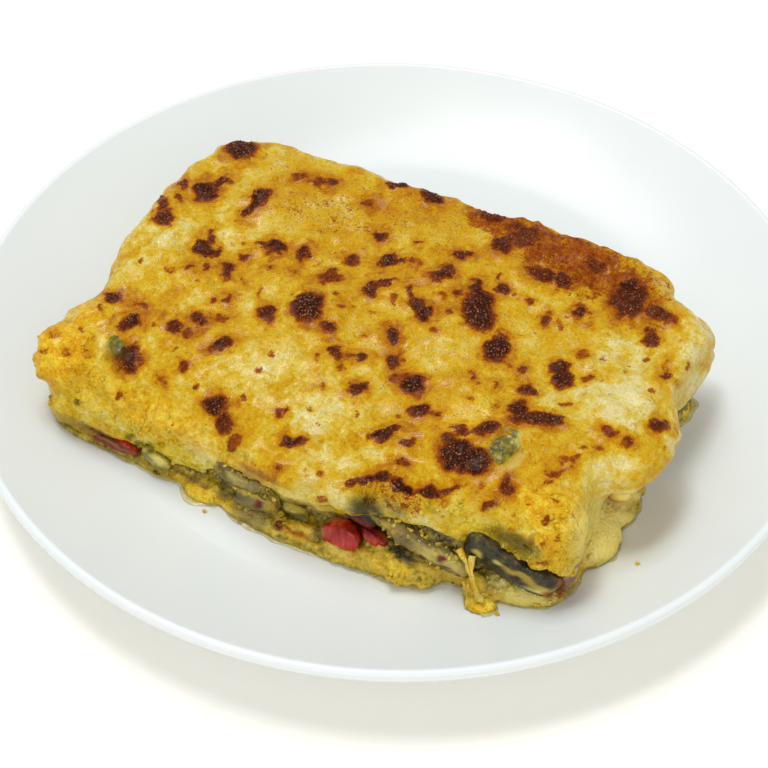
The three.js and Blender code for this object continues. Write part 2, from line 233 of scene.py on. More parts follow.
walls = bpy.data.worlds.new("white_walls")
walls.use_nodes = True
walls.node_tree.nodes["Background"].inputs["Color"].default_value = (*WALL_LIGHT, 1.0)
bpy.context.scene.world = walls


# ---------------------------------------------------------------- the plate
# A white glazed dinner plate of coupe shape: a level well that curves up to a soft lip. It is one
# piece of stoneware, pressed and fired on a low foot ring.

PLATE_RADIUS = 125
PLATE_HEIGHT = 22
PLATE_THICKNESS = 3.2
WELL_RADIUS = 86
WELL_TOP = 4.5
WALL_CURVE = 1.55
WALL_LEAN = 1.2
LIP_WIDTH = 2
LIP = [(0.3, 2.7), (0, 1.4), (0.6, 0.2), (LIP_WIDTH, 0)]  # in from the edge, down from the top
FOOT_RING = (66, 70)
FOOT_SLOPE = 2
PLATE_SIDES = 192
WALL_STEPS = 16


def plate_surface(radius):
    """Height of the plate's upper surface at a distance from its middle."""
    part = np.maximum((radius - WELL_RADIUS) / (PLATE_RADIUS - LIP_WIDTH - WELL_RADIUS), 0)
    return WELL_TOP + (PLATE_HEIGHT - WELL_TOP) * part**WALL_CURVE


def plate_under(x, y):
    """Height of the plate's upper surface under a place."""
    return plate_surface(np.hypot(x, y))


def softened(line, rounds):
    """The same open line with its corners cut again and again, until they are round."""
    for _ in range(rounds):
        near, far = 0.75 * line[:-1] + 0.25 * line[1:], 0.25 * line[:-1] + 0.75 * line[1:]
        line = np.vstack([line[:1], np.stack([near, far], 1).reshape(-1, 2)[1:-1], line[-1:]])
    return line


def turned(profile, sides):
    """Points and faces of a profile of (radius, height), from axis to axis, turned about Z."""
    angles = np.arange(sides) * 2 * np.pi / sides
    rings = profile[1:-1]
    x = rings[:, :1] * np.cos(angles)
    y = rings[:, :1] * np.sin(angles)
    z = np.broadcast_to(rings[:, 1:], x.shape)
    poles = [(0, 0, profile[0, 1]), (0, 0, profile[-1, 1])]
    points = np.vstack([np.stack([x, y, z], -1).reshape(-1, 3), poles])
    first = np.arange(sides)
    second = np.roll(first, -1)
    faces = []
    for ring in range(len(rings) - 1):
        low, high = ring * sides, (ring + 1) * sides
        faces += np.stack([low + first, low + second, high + second, high + first], 1).tolist()
    bottom, top, last = len(points) - 2, len(points) - 1, (len(rings) - 1) * sides
    faces += [(bottom, b, a) for a, b in zip(first.tolist(), second.tolist())]
    faces += [(top, last + a, last + b) for a, b in zip(first.tolist(), second.tolist())]
    return points, faces


wall = np.linspace(WELL_RADIUS, PLATE_RADIUS - LIP_WIDTH - 1, WALL_STEPS)
underside = WELL_TOP - PLATE_THICKNESS
plate_profile = np.array([
    (0, underside),
    (FOOT_RING[0] - FOOT_SLOPE, underside),
    (FOOT_RING[0], 0),
    (FOOT_RING[1], 0),
    (FOOT_RING[1] + FOOT_SLOPE, underside),
    *((r + WALL_LEAN, plate_surface(r) - PLATE_THICKNESS) for r in wall),
    *((PLATE_RADIUS - inward, PLATE_HEIGHT - down) for inward, down in LIP),
    *((r, plate_surface(r)) for r in wall[::-1]),
    (0, WELL_TOP),
])

glaze = Finish("plate_glaze", {"IOR": 1.5})
clouding = glaze.noise(38, 2)
pinholes = glaze.step(glaze.noise(0.35, 0), 0.8, 0.9)
body_white = glaze.mix(clouding, "e4ebee", "eaf0f3")
glaze.set(Base_Color=glaze.mix(pinholes * 0.3, body_white, "cfcabb"))
glaze.set(Roughness=0.26 + 0.12 * glaze.noise(14, 3))
glaze.set(Normal=glaze.bump(glaze.noise(30, 1), 0.12, 0.5))

plate = mesh_piece("dinner_plate", *turned(softened(plate_profile, 2), PLATE_SIDES), glaze)
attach(plate, "root")
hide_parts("plate")


# ---------------------------------------------------------------- the custard base
# Egg custard set round the bottom of the vegetables. It broke raggedly where the slice was cut,
# and some of it ran out on to the plate.

CORNER_RADIUS = 12
CORNER_CENTRES = [(-67, -60), (66, -57), (75, 15), (34, 28), (-66, 26)]
SLICE_MIDDLE = (3, -20)
CUSTARD_TOP = 9
CUSTARD_OVERHANG = 1.2
CUSTARD_TUCKS = [(90, -1, 17, 5), (-82, -66, 20, 4)]  # x, y, reach, depth
REST_GAP = 0.2
LEVEL_INSIDE = (-16, -9)  # depths inside the outline between which hidden heights run level
CUSTARD_BOX = ((-84, -82, 3), (90, 44, 18))
CUSTARD_PITCH = 0.85
CUSTARD_LUMPS = [
    # centre, half sizes
    ((77.5, -41, 8), (8.5, 11, 6.5)),
    ((80, -26, 7), (6, 11, 4)),
    ((69, -66, 7.5), (12, 5.5, 5)),
    ((60.5, -75, 6.8), (4.4, 4, 3.2)),
    ((57, -72, 9.5), (3.4, 4, 4.6)),
    ((8, -73, 5.7), (26, 4.9, 2.9)),
    ((-24, -71.5, 5.8), (7, 4.6, 2.6)),
    ((36, -71, 8), (12, 6, 5)),
]


def round_min(a, b, radius):
    """Joins two distances as a union, with a fillet."""
    corner = np.hypot(np.maximum(radius - a, 0), np.maximum(radius - b, 0))
    return np.maximum(radius, np.minimum(a, b)) - corner


def round_max(a, b, radius):
    """Cuts one distance with another, with a rounded edge."""
    return -round_min(-a, -b, radius)


def bell(offset, reach):
    """1 at the middle, fading out evenly on both sides."""
    return np.exp(-((offset / reach) ** 2))


def smooth_step(value, low, high):
    """0 below low, 1 above high, and a smooth rise between."""
    part = np.clip((value - low) / (high - low), 0, 1)
    return part * part * (3 - 2 * part)


def ellipsoid(x, y, z, centre, size):
    """About the distance to an ellipsoid, negative inside."""
    offsets = [(p - c) / s for p, c, s in zip((x, y, z), centre, size)]
    reach = np.sqrt(sum(o**2 for o in offsets))
    slope = np.sqrt(sum((o / s) ** 2 for o, s in zip(offsets, size)))
    return reach * (reach - 1) / np.maximum(slope, 1e-6)


def outline(x, y):
    """Signed distance in plan to the slice's outline, negative inside."""
    nearest, inside = np.inf, True
    for a, b in zip(CORNER_CENTRES, CORNER_CENTRES[1:] + CORNER_CENTRES[:1]):
        ex, ey = b[0] - a[0], b[1] - a[1]
        wx, wy = x - a[0], y - a[1]
        part = np.clip((wx * ex + wy * ey) / (ex * ex + ey * ey), 0, 1)
        nearest = np.minimum(nearest, np.hypot(wx - ex * part, wy - ey * part))
        inside = inside & (ex * wy - ey * wx > 0)
    return np.where(inside, -nearest, nearest) - CORNER_RADIUS


def waver(x, y):
    """The uneven line of a cut made with a spatula."""
    return 0.9 * np.sin(x / 8.5 + 0.8) * np.cos(y / 11) + 0.5 * np.sin(x / 4.3 - y / 5.1)


def level_within(height, flat, x, y):
    """A height that runs into a level one towards the middle of the slice."""
    return flat + (height - flat) * smooth_step(outline(x, y), *LEVEL_INSIDE)


def at_side(points):
    """1 on and beyond the cut sides, 0 in the hidden middle of the slice."""
    return smooth_step(outline(*points[:, :2].T), -9, -6)


def custard_top(x, y):
    """Height of the custard's uneven upper side."""
    level = CUSTARD_TOP + 0.8 * np.sin(x / 9) * np.cos(y / 8)
    height = np.maximum(level, plate_under(x, y) + 3)
    return level_within(height, CUSTARD_TOP, x, y)


def custard(x, y, z):
    """About the distance to the custard, negative inside."""
    tuck = 0
    for tx, ty, reach, depth in CUSTARD_TUCKS:
        tuck = np.maximum(tuck, depth * bell(np.hypot(x - tx, y - ty), reach))
    edge = outline(x, y) + waver(x, y) - CUSTARD_OVERHANG + tuck
    distance = round_max(edge, z - custard_top(x, y), 3)
    for centre, size in CUSTARD_LUMPS:
        distance = round_min(distance, ellipsoid(x, y, z, centre, size), 1.5)
    floor = level_within(plate_under(x, y), WELL_TOP, x, y) + REST_GAP
    return np.maximum(distance, floor - z)


def noise(points, size, seed):
    """Smooth random numbers from -1 to 1, in lumps of the given size."""
    lattice = np.random.default_rng(seed).uniform(-1, 1, (32, 32, 32))
    place = points @ np.array(Euler((0.5, 0.7, seed)).to_matrix()) / size
    low = np.floor(place).astype(int)
    part = place - low
    part = part * part * (3 - 2 * part)
    total = np.zeros(len(points))
    for corner in itertools.product((0, 1), repeat=3):
        weight = np.prod(np.where(corner, part, 1 - part), axis=1)
        total += weight * lattice[tuple(((low + corner) % 32).T)]
    return total


def surface_of(field, low, high, pitch):
    """Points and four-sided faces of the closed surface where field(x, y, z) is 0, negative inside."""
    axes = [np.arange(a, b + pitch, pitch) for a, b in zip(low, high)]
    values = field(*np.meshgrid(*axes, indexing="ij", sparse=True))
    total = np.zeros((*values.shape, 3))
    count = np.zeros(values.shape)
    crossings = []
    for axis in range(3):
        near = np.take(values, range(values.shape[axis] - 1), axis)
        far = np.take(values, range(1, values.shape[axis]), axis)
        at = np.argwhere((near < 0) != (far < 0))
        a, b = near[tuple(at.T)], far[tuple(at.T)]
        crossing = at.astype(float)
        crossing[:, axis] += a / (a - b)
        across = [other for other in range(3) if other != axis]
        around = []
        for steps in ((0, 0), (-1, 0), (-1, -1), (0, -1)):
            cell = at.copy()
            cell[:, across] += steps
            np.add.at(total, tuple(cell.T), crossing)
            np.add.at(count, tuple(cell.T), 1)
            around.append(cell)
        crossings.append((around, (a < 0) == (axis != 1)))
    numbers = np.cumsum(count.ravel() > 0).reshape(count.shape) - 1
    used = count > 0
    points = total[used] / count[used][:, None] * pitch + [axis[0] for axis in axes]
    faces = []
    for around, outward in crossings:
        quads = np.stack([numbers[tuple(cell.T)] for cell in around], 1)
        faces.append(np.where(outward[:, None], quads, quads[:, ::-1]))
    return points, np.vstack(faces)


def slope_of(field, points, reach=0.1):
    """The direction in which a field rises, at each point."""
    steps = np.eye(3) * reach
    rises = [field(*(points + s).T) - field(*(points - s).T) for s in steps]
    return np.stack(rises, 1) / (2 * reach)


def settle(field, points, rounds=2, furthest=0.6):
    """Moves points of a rough surface on to the field's true one, and gives its normals there."""
    for _ in range(rounds):
        slope = slope_of(field, points)
        steep = np.maximum((slope**2).sum(1), 0.1)
        points = points - np.clip(field(*points.T) / steep, -furthest, furthest)[:, None] * slope
    slope = slope_of(field, points)
    return points, slope / np.linalg.norm(slope, axis=1)[:, None]


def middle_fanned(points, quads, levels):
    """Swaps the level areas in the hidden middle of a layer for one fan of faces each."""
    fans = []
    for level in levels:
        hidden = outline(*points[:, :2].T) < LEVEL_INSIDE[0] - 1
        even = hidden & (np.abs(points[:, 2] - level) < 0.1)
        plain = even[quads].all(1)
        sides = {(a, b) for quad in quads[plain].tolist() for a, b in zip(quad, quad[1:] + quad[:1])}
        fans += [(a, b, len(points)) for a, b in sides if (b, a) not in sides]
        points = np.vstack([points, (*SLICE_MIDDLE, level)])
        quads = quads[~plain]
    fans = np.array(sorted(fans))
    used = np.unique(np.concatenate([quads.ravel(), fans.ravel()]))
    numbers = np.zeros(len(points), int)
    numbers[used] = np.arange(len(used))
    return points[used], numbers[quads].tolist() + numbers[fans].tolist()


def photo_place(points):
    """Where points show in the photograph, in its pixels."""
    seen = points - view_from
    depth = -(seen @ view_back)
    reach = PHOTO_SIDE / 2 / np.tan(VIEW_ANGLE / 2)
    return np.stack([PHOTO_SIDE / 2 + reach * seen @ view_right / depth,
                     PHOTO_SIDE / 2 - reach * seen @ view_up / depth], 1)


Dab = namedtuple("Dab", "at size turn level", defaults=(0, 1.0))


def dabbed(points, normals, dabs, ragged, soft=0.5, spread=0.0):
    """How strongly each point is touched by dabs set by their place, width and height in the photograph.
    A turn is in degrees, anticlockwise as seen, and ragged is how many pixels the edges waver. Only what
    faces the view is touched. With a spread, the dabs fade out over that many pixels."""
    place = photo_place(points)
    for size, share, seed in ((2.6, 1, 3), (1.2, 0.6, 5)):
        shift = np.stack([noise(points, size, seed), noise(points, size, seed + 1)], 1)
        place = place + share * ragged * shift
    level = np.zeros(len(points))
    for dab in dabs:
        turn = np.radians(dab.turn)
        offset = place - dab.at
        along = offset[:, 0] * np.cos(turn) - offset[:, 1] * np.sin(turn)
        across = offset[:, 0] * np.sin(turn) + offset[:, 1] * np.cos(turn)
        reach = np.hypot(along / dab.size[0] * 2, across / dab.size[1] * 2)
        touch = smooth_step(-reach, -1 - soft, -1 + soft)
        if spread:
            touch = bell(np.maximum(reach - 1, 0) * min(dab.size) / 2, spread)
        level = np.maximum(level, dab.level * touch)
    towards = view_from - points
    facing = (normals * towards).sum(1) / np.linalg.norm(towards, axis=1)
    return level * smooth_step(facing, 0.0, 0.15)


# pale custard, and painted light on the shelf at the right that lies in the cheese's shade
PALE_AND_LIT_CUSTARD = [Dab((515, 585), (90, 34), -15), Dab((606, 535), (60, 60), 30)]
YOLKY_CUSTARD = [
    Dab((487, 606), (34, 26)),
    Dab((470, 578), (22, 34), 30),
    Dab((545, 600), (40, 12), 12, 0.9),
    Dab((575, 570), (24, 34), 0, 0.5),
    Dab((622, 545), (40, 16), 30, 0.5),
    Dab((418, 588), (14, 10)),
    Dab((686, 405), (34, 34), 0, 0.9),
    Dab((202, 496), (70, 24), -29, 0.7),
    Dab((296, 530), (34, 16), -20, 0.7),
    Dab((390, 572), (50, 26), -28, 0.45),
]

STAINS_AND_PAINTED_LIGHT = {
    # what shows through or sticks to the cut side, and painted shade and painted light laid on it: colour,
    # places
    # painted shade: near-black laid into gaps, hollows and under the cheese's lip where shade falls, and on
    # some dark skin
    "gloom": ("120d04", [
        Dab((402, 552), (36, 14), -28),
        Dab((196, 481), (60, 5), -29, 0.6),
        Dab((104, 440), (110, 12), -29, 0.5),
        Dab((239, 497), (30, 9), -20, 0.85),
        Dab((223, 486), (10, 30), 0, 0.6),
        Dab((372, 518), (36, 20), -35, 0.95),
        Dab((366, 511), (36, 28), -35, 0.9),
        Dab((392, 508), (34, 14), -30, 0.4),
        Dab((294, 516), (22, 8), -20, 0.6),
        Dab((514, 541), (52, 14), -30, 0.6),
        Dab((119, 352), (9, 22), -10, 0.5),
        Dab((494, 446), (8, 30), -25, 0.35),
        Dab((438, 549), (34, 5), -28, 0.6),
        Dab((460, 566), (20, 6), -28, 0.5),
        Dab((470, 548), (12, 26), 20, 0.5),
        Dab((552, 588), (8, 30), -5, 0.3),
        Dab((312, 512), (40, 6), -22, 0.7),
    ]),
    "pulp": ("8d7c46", [
        Dab((253, 512), (40, 32), -15, 0.85),
        Dab((245, 483), (44, 26), -30, 0.6),
        Dab((405, 540), (46, 20), -28, 0.6),
        Dab((318, 533), (12, 16), 0, 0.7),
        Dab((108, 439), (50, 7), -29, 0.75),
    ]),
    # pale juice on the cut side, partly painted light: a painted reflection on the dark skin, and painted
    # light on the fold and shelf at the front right that lie in shade
    "film": ("f8e47a", [
        Dab((159, 461), (18, 10), -20, 0.6),
        Dab((378, 520), (26, 4), -38, 0.35),
        Dab((441, 562), (54, 24), -25, 0.5),
        Dab((527, 598), (68, 20), 0, 0.9),
        Dab((604, 532), (66, 56), 30, 0.8),
        Dab((628, 496), (34, 12), 0, 0.95),
        Dab((102, 342), (10, 18), 30, 0.7),
        Dab((514, 462), (30, 8), 40, 0.5),
        Dab((520, 440), (6, 22), 0, 0.4),
        Dab((235, 478), (20, 8), -30, 0.4),
        Dab((478, 553), (12, 6), -35, 0.5),
        Dab((497, 562), (9, 5), -35, 0.5),
        Dab((340, 553), (26, 6), -25, 0.6),
        Dab((300, 503), (70, 16), -22, 0.6),
    ]),
    "curd": ("dcb83a", [
        Dab((455, 581), (44, 13), -25, 0.8),
        Dab((432, 570), (30, 8), -28, 0.6),
        Dab((388, 527), (22, 6), -35, 0.6),
        Dab((522, 577), (54, 6), -28, 0.5),
        Dab((250, 493), (34, 5), -28, 0.6),
        Dab((270, 507), (16, 12), -28, 0.5),
        Dab((240, 531), (40, 6), -28, 0.6),
        Dab((360, 560), (30, 10), -25, 0.6),
    ]),
    "ruby": ("6c0e12", [
        Dab((258, 505), (9, 8)),
        Dab((441, 560), (9, 8)),
        Dab((278, 527), (11, 9)),
        Dab((109, 438), (54, 5), -29, 0.9),
        Dab((366, 528), (36, 14), -30, 0.9),
    ]),
    "leaf": ("5a4e0a", [
        Dab((78, 403), (9, 6), -20, 0.8),
        Dab((131, 437), (10, 6), -20, 0.8),
        Dab((138, 444), (9, 6), -30, 0.8),
        Dab((294, 516), (20, 7), -15, 0.9),
        Dab((114, 352), (22, 24), 0, 0.5),
        Dab((503, 450), (30, 36), 30, 0.25),
        Dab((517, 545), (60, 18), -30, 0.5),
    ]),
    "rust": ("a04e08", [
        Dab((260, 474), (56, 6), -29, 0.7),
        Dab((298, 533), (28, 5), -20, 0.8),
        Dab((547, 594), (11, 8), 0, 0.9),
        Dab((559, 590), (8, 22), 0, 0.8),
        Dab((531, 541), (8, 10), 0, 0.7),
        Dab((413, 588), (9, 7), 0, 0.8),
        Dab((706, 318), (8, 7), 0, 0.8),
    ]),
}


def stains_and_light_on(points, normals):
    """How strongly each stain, painted shade and painted light touches each point, by its name."""
    return {name: dabbed(points, normals, dabs, ragged=2) for name, (_, dabs) in STAINS_AND_PAINTED_LIGHT.items()}


def stained_and_lit(finish, colour):
    """A colour with every stain, painted shade and painted light laid over it where it touches."""
    for name, (code, _) in STAINS_AND_PAINTED_LIGHT.items():
        colour = finish.mix(finish.attribute(name), colour, code)
    return colour


DENTS_PER_METRE = 900.0
DENT_DEPTH = 1.4  # of a lump's largest half size
ANY_TURN = (6.283, 6.283, 6.283)


def strewn(name, ground, mask, finish, per_cm2, sizes, roundness, seed):
    """Small lumps strewn at random over a piece where its mask allows, with half sizes in millimetres."""
    smallest, largest = np.array(sizes) * MM
    values = {"Density": per_cm2 * 1e4, "Smallest": smallest, "Largest": largest, "Seed": seed}
    tree = bpy.data.node_groups.new(name, "GeometryNodeTree")
    tree.interface.new_socket("Ground", in_out="INPUT", socket_type="NodeSocketGeometry")
    for title in values:
        kind = "NodeSocketInt" if title == "Seed" else "NodeSocketFloat"
        tree.interface.new_socket(title, in_out="INPUT", socket_type=kind)
    tree.interface.new_socket("Strewn", in_out="OUTPUT", socket_type="NodeSocketGeometry")

    def add(kind, settings=None, inputs=None):
        made = tree.nodes.new(kind)
        for key, value in (settings or {}).items():
            setattr(made, key, value)
        for key, value in (inputs or {}).items():
            if isinstance(value, bpy.types.NodeSocket):
                tree.links.new(value, made.inputs[key])
            else:
                made.inputs[key].default_value = value
        return made.outputs

    given = add("NodeGroupInput")
    ground_in, density, least, most, seed_in = (given[title] for title in ("Ground", *values))
    allowed = add("GeometryNodeInputNamedAttribute", {"data_type": "FLOAT"}, {"Name": mask})
    masked = add("ShaderNodeMath", {"operation": "MULTIPLY"}, {0: density, 1: allowed["Attribute"]})
    spots = add("GeometryNodeDistributePointsOnFaces", None,
                {"Mesh": ground_in, "Density": masked["Value"], "Seed": seed_in})
    lump = add("GeometryNodeMeshIcoSphere", None, {"Radius": 1.0, "Subdivisions": roundness})
    vector = {"data_type": "FLOAT_VECTOR"}
    turn = add("FunctionNodeRandomValue", vector, {"Max": ANY_TURN, "Seed": seed_in})
    size = add("FunctionNodeRandomValue", vector, {"Min": least, "Max": most, "Seed": seed_in})
    copies = add("GeometryNodeInstanceOnPoints", None, {
        "Points": spots["Points"],
        "Instance": lump["Mesh"],
        "Rotation": turn["Value"],
        "Scale": size["Value"],
    })
    real = add("GeometryNodeRealizeInstances", None, {"Geometry": copies["Instances"]})
    rough = add("ShaderNodeTexNoise", None, {"Scale": DENTS_PER_METRE})
    evened = add("ShaderNodeVectorMath", {"operation": "SUBTRACT"}, {0: rough["Color"], 1: (0.5, 0.5, 0.5)})
    shift = add("ShaderNodeVectorMath", {"operation": "SCALE"},
                {0: evened["Vector"], "Scale": DENT_DEPTH * largest})
    dented = add("GeometryNodeSetPosition", None, {"Geometry": real["Geometry"], "Offset": shift["Vector"]})
    smooth = add("GeometryNodeSetShadeSmooth", None, {"Geometry": dented["Geometry"]})
    coated = add("GeometryNodeSetMaterial", None,
                 {"Geometry": smooth["Geometry"], "Material": finish.material})
    add("NodeGroupOutput", None, {"Strewn": coated["Geometry"]})

    holder = bpy.data.objects.new(name + "_ground", ground.data)
    bpy.context.scene.collection.objects.link(holder)
    modifier = holder.modifiers.new("strewn", "NODES")
    modifier.node_group = tree
    for item in tree.interface.items_tree:
        if item.name in values:
            modifier[item.identifier] = values[item.name]
    ready = holder.evaluated_get(bpy.context.evaluated_depsgraph_get())
    mesh = bpy.data.meshes.new_from_object(ready)
    bpy.data.objects.remove(holder)
    mesh.name = name
    piece = bpy.data.objects.new(name, mesh)
    bpy.context.scene.collection.objects.link(piece)
    return piece


egg = Finish("egg_custard", {
    "IOR": 1.42,
    "Specular_IOR_Level": 0.55,
    "Subsurface_Weight": 0.2,
    "Subsurface_Radius": (1.0, 0.6, 0.25),
    "Subsurface_Scale": 2.5 * MM,
})
mottle = egg.noise(3.2, 4, 0.6)
crumbly = egg.noise(1.1, 3, 0.6)
tone = mottle + (crumbly - 0.5) * 0.6
olive_or_gold = egg.ramp(
    tone, (0.24, "5c500c"), (0.38, "9a8614"), (0.54, "c8aa28"), (0.68, "dec24a"), (0.85, "ecd982")
)
pale_tone = egg.ramp(tone, (0.3, "dcc24c"), (0.5, "f0da78"), (0.7, "fdf0ba"))
egg_yellow = egg.ramp(tone, (0.3, "d8a404"), (0.5, "f8c40a"), (0.7, "fee244"))
# paler where the custard is pale, and painted light where it lies in shade
paler = egg.mix(egg.attribute("pale"), olive_or_gold, pale_tone)
yolky = egg.mix(egg.attribute("yolk"), paler, egg_yellow)
egg.set(Base_Color=stained_and_lit(egg, yolky))
egg.set(Roughness=0.24 + 0.3 * crumbly)
egg.set(Normal=egg.bump(crumbly, 0.8, under=egg.bump(mottle, 0.9)))

points, faces = surface_of(custard, *CUSTARD_BOX, CUSTARD_PITCH)
points, faces = middle_fanned(points, faces, (WELL_TOP + REST_GAP, CUSTARD_TOP))
points, normals = settle(custard, points)
curdled = 1.3 * np.abs(noise(points, 3.6, 11)) + 0.8 * np.abs(noise(points, 1.9, 12)) - 0.5
waved = 1.1 * noise(points, 10, 14)
free = at_side(points) * smooth_step(points[:, 2] - plate_under(*points[:, :2].T), 0.3, 1.5)
# under the juice dabs, which are partly painted light, the side is smoother and bare of curds
juice_and_light_dabs = dabbed(points, normals, STAINS_AND_PAINTED_LIGHT["film"][1], ragged=2)
points = points + normals * ((curdled + waved) * free * (1 - 0.7 * juice_and_light_dabs))[:, None]
loose = free * (1 - juice_and_light_dabs) * smooth_step(noise(points, 5, 13), -0.2, 0.3)
custard_base = mesh_piece(
    "egg_custard_base", points, faces, egg,
    pale=dabbed(points, normals, PALE_AND_LIT_CUSTARD, ragged=3),
    yolk=dabbed(points, normals, YOLKY_CUSTARD, ragged=3),
    loose=loose,
    **stains_and_light_on(points, normals),
)
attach(custard_base, "root")
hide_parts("custard_base")

curds = strewn("egg_curds", custard_base, "loose", egg, per_cm2=26, sizes=(0.35, 1.15), roundness=2, seed=4)
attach(curds, "root")


# ---------------------------------------------------------------- juices and crumbs on the plate
# A thin film of oily juice that ran out round the base, and crumbs of custard that fell off it when
# the slice was set down. The film is found by halving, along lines out from the slice's middle.

FILM_SIDES = 900
FILM_SECTION = [
    # across the film, from under the custard to its thin edge: share of its width, height
    (0.0, 0.05), (0.0, 0.42), (0.5, 0.45), (0.7, 0.34), (0.88, 0.2), (1.0, 0.1), (0.9, 0.04),
]
FILM_UNDER = 2.2
FILM_FULL = 0.42  # the height at which it shows its full colour
SHORE_HEIGHT = 0.8
SHORE_BETWEEN = (25.0, 115.0)
SHORE_HALVINGS = 24
PLATE_CRUMBS = [
    # x, y, half size
    (73.7, -69.6, 0.95),
    (65.5, -76.5, 0.5),
    (-20.5, -77.9, 0.45),
    (92.5, -46.0, 0.45),
    (-80.5, 12.0, 0.5),
    (20.0, 43.0, 0.5),
]
CRUMB_SHAPE = np.array([1.3, 1, 0.75])

juice = Finish("pan_juice", {
    "IOR": 1.38,
    "Specular_IOR_Level": 0.4,
    "Coat_Weight": 0.3,
    "Coat_Roughness": 0.08,
})
juice_tone = juice.noise(2.4, 3)
juice.set(Base_Color=juice.ramp(juice_tone, (0.3, "c6ae36"), (0.5, "dcc864"), (0.7, "f2e8b0")))
juice.set(Alpha=0.1 + 0.6 * juice.attribute("body"), Roughness=0.12 + 0.15 * juice_tone)

angles = np.arange(FILM_SIDES) * 2 * np.pi / FILM_SIDES
away = np.stack([np.cos(angles), np.sin(angles)], 1)
near, far = (np.full(FILM_SIDES, reach) for reach in SHORE_BETWEEN)
for _ in range(SHORE_HALVINGS):
    middle = (near + far) / 2
    x, y = (SLICE_MIDDLE + away * middle[:, None]).T
    inside = custard(x, y, plate_under(x, y) + SHORE_HEIGHT) < 0
    near, far = np.where(inside, middle, near), np.where(inside, far, middle)
shore = np.column_stack([SLICE_MIDDLE + away * near[:, None], np.zeros(FILM_SIDES)])
width = FILM_UNDER + np.maximum(0.9 + 1.3 * noise(shore, 9, 61) + 0.8 * noise(shore, 3, 62), 0.25)
points, body = [], []
for share, height in FILM_SECTION:
    x, y = (shore[:, :2] + away * (share * width - FILM_UNDER)[:, None]).T
    points.append(np.stack([x, y, plate_under(x, y) + height], 1))
    body.append(np.full(FILM_SIDES, min(height / FILM_FULL, 1)))
count = len(FILM_SECTION)
faces = [
    (a * FILM_SIDES + i, a * FILM_SIDES + j, b * FILM_SIDES + j, b * FILM_SIDES + i)
    for a, b in zip(range(count), [*range(1, count), 0])
    for i, j in zip(range(FILM_SIDES), [*range(1, FILM_SIDES), 0])
]
juice_film = mesh_piece("juice_film", np.vstack(points), faces, juice, body=np.concatenate(body))
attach(juice_film, "root")


def ball(subdivisions):
    """Points and faces of a ball of radius 1."""
    made = bmesh.new()
    bmesh.ops.create_icosphere(made, subdivisions=subdivisions, radius=1)
    points = np.array([v.co for v in made.verts])
    faces = [[v.index for v in face.verts] for face in made.faces]
    made.free()
    return points, faces


def joined(parts):
    """The points and faces of several parts in one."""
    points, faces, first = [], [], 0
    for part_points, part_faces in parts:
        points.append(part_points)
        faces += [[first + number for number in face] for face in part_faces]
        first += len(part_points)
    return np.vstack(points), faces


def crumb(number, x, y, size):
    """One crumb that lies on the plate, each with its own bumps."""
    points, faces = ball(4)
    own = points + 9 * number
    bumpy = 1 + 0.35 * noise(own, 0.7, 63) + 0.2 * noise(own, 0.3, 64)
    level = plate_under(x, y) + CRUMB_SHAPE[2] * size
    return points * bumpy[:, None] * CRUMB_SHAPE * size + (x, y, level), faces


points, faces = joined([crumb(number, *place) for number, place in enumerate(PLATE_CRUMBS)])
plate_crumbs = mesh_piece("plate_crumbs", points, faces, egg, pale=np.zeros(len(points)),
                          yolk=np.full(len(points), 0.6))
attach(plate_crumbs, "root")


# ---------------------------------------------------------------- the vegetables
# Diced aubergine, peppers and mushroom, baked soft and pressed together between the custard and the
# cheese. They show wherever the cheese stops short of the base.

FILLING_INSET = 3.4
FILLING_TOP = 26
FILLING_BOTTOM = CUSTARD_TOP - 3
LEAST_CHEESE = 7
SLICE_TOP = 38
FILLING_BOX = ((-80, -78, 3), (88, 42, 30))
FILLING_PITCH = 0.9
CORNER_DROP = (-84, -84, 12, 44, 36)  # x, y, drop, reach along x, reach along y
FRONT_SAG = (-76, 4, 20)  # y, drop, reach
HEM = 10
WINDOWS = [
    # where the cheese stops short of the base: x, y, reach along the side, rise
    (-13, -74, 10, 11),
    (27, -74, 12, 13),
    (42, -73, 19, 14),
    (66, -69, 15, 15),
    (86, -34, 16, 12),
    (86, 4, 14, 9),
    (44, 36, 20, 11),
    (-24, 36, 22, 10),
    (-78, -14, 20, 11),
]


def top_height(x, y):
    """Height of the top of the cheese, low at the front left corner and sagging along the front."""
    cx, cy, drop, reach_x, reach_y = CORNER_DROP
    corner = drop * bell(x - cx, reach_x) * bell(y - cy, reach_y)
    front = FRONT_SAG[1] * bell(y - FRONT_SAG[0], FRONT_SAG[2]) * (1 - smooth_step(x, 35, 72))
    swell = 1.0 * np.sin(x / 13 + 0.5) * np.cos(y / 15) + 0.6 * np.sin(x / 7.3 + y / 9.1)
    return SLICE_TOP - corner - front + swell


def heaped_height(x, y):
    """Height to which the vegetables are heaped near the sides, with cheese left above them."""
    return np.minimum(FILLING_TOP + np.sin(x / 17 + 1), top_height(x, y) - LEAST_CHEESE)


def filling_top(x, y):
    """Height of the vegetables' upper side, level where it is hidden."""
    return level_within(heaped_height(x, y), FILLING_TOP, x, y)


def hem_height(x, y):
    """Height of the cheese's lower edge on the slice's sides."""
    rise = 0
    for wx, wy, reach, most in WINDOWS:
        rise = np.maximum(rise, most * bell(np.hypot(x - wx, y - wy), reach))
    ragged = 1.1 * np.sin(x / 3.1 + 1) * np.cos(y / 4.3) + 0.7 * np.sin(x / 1.9 - y / 2.3)
    low = np.maximum(HEM + ragged, plate_under(x, y) + 3)
    return np.minimum(low + rise, heaped_height(x, y) - 1.5)


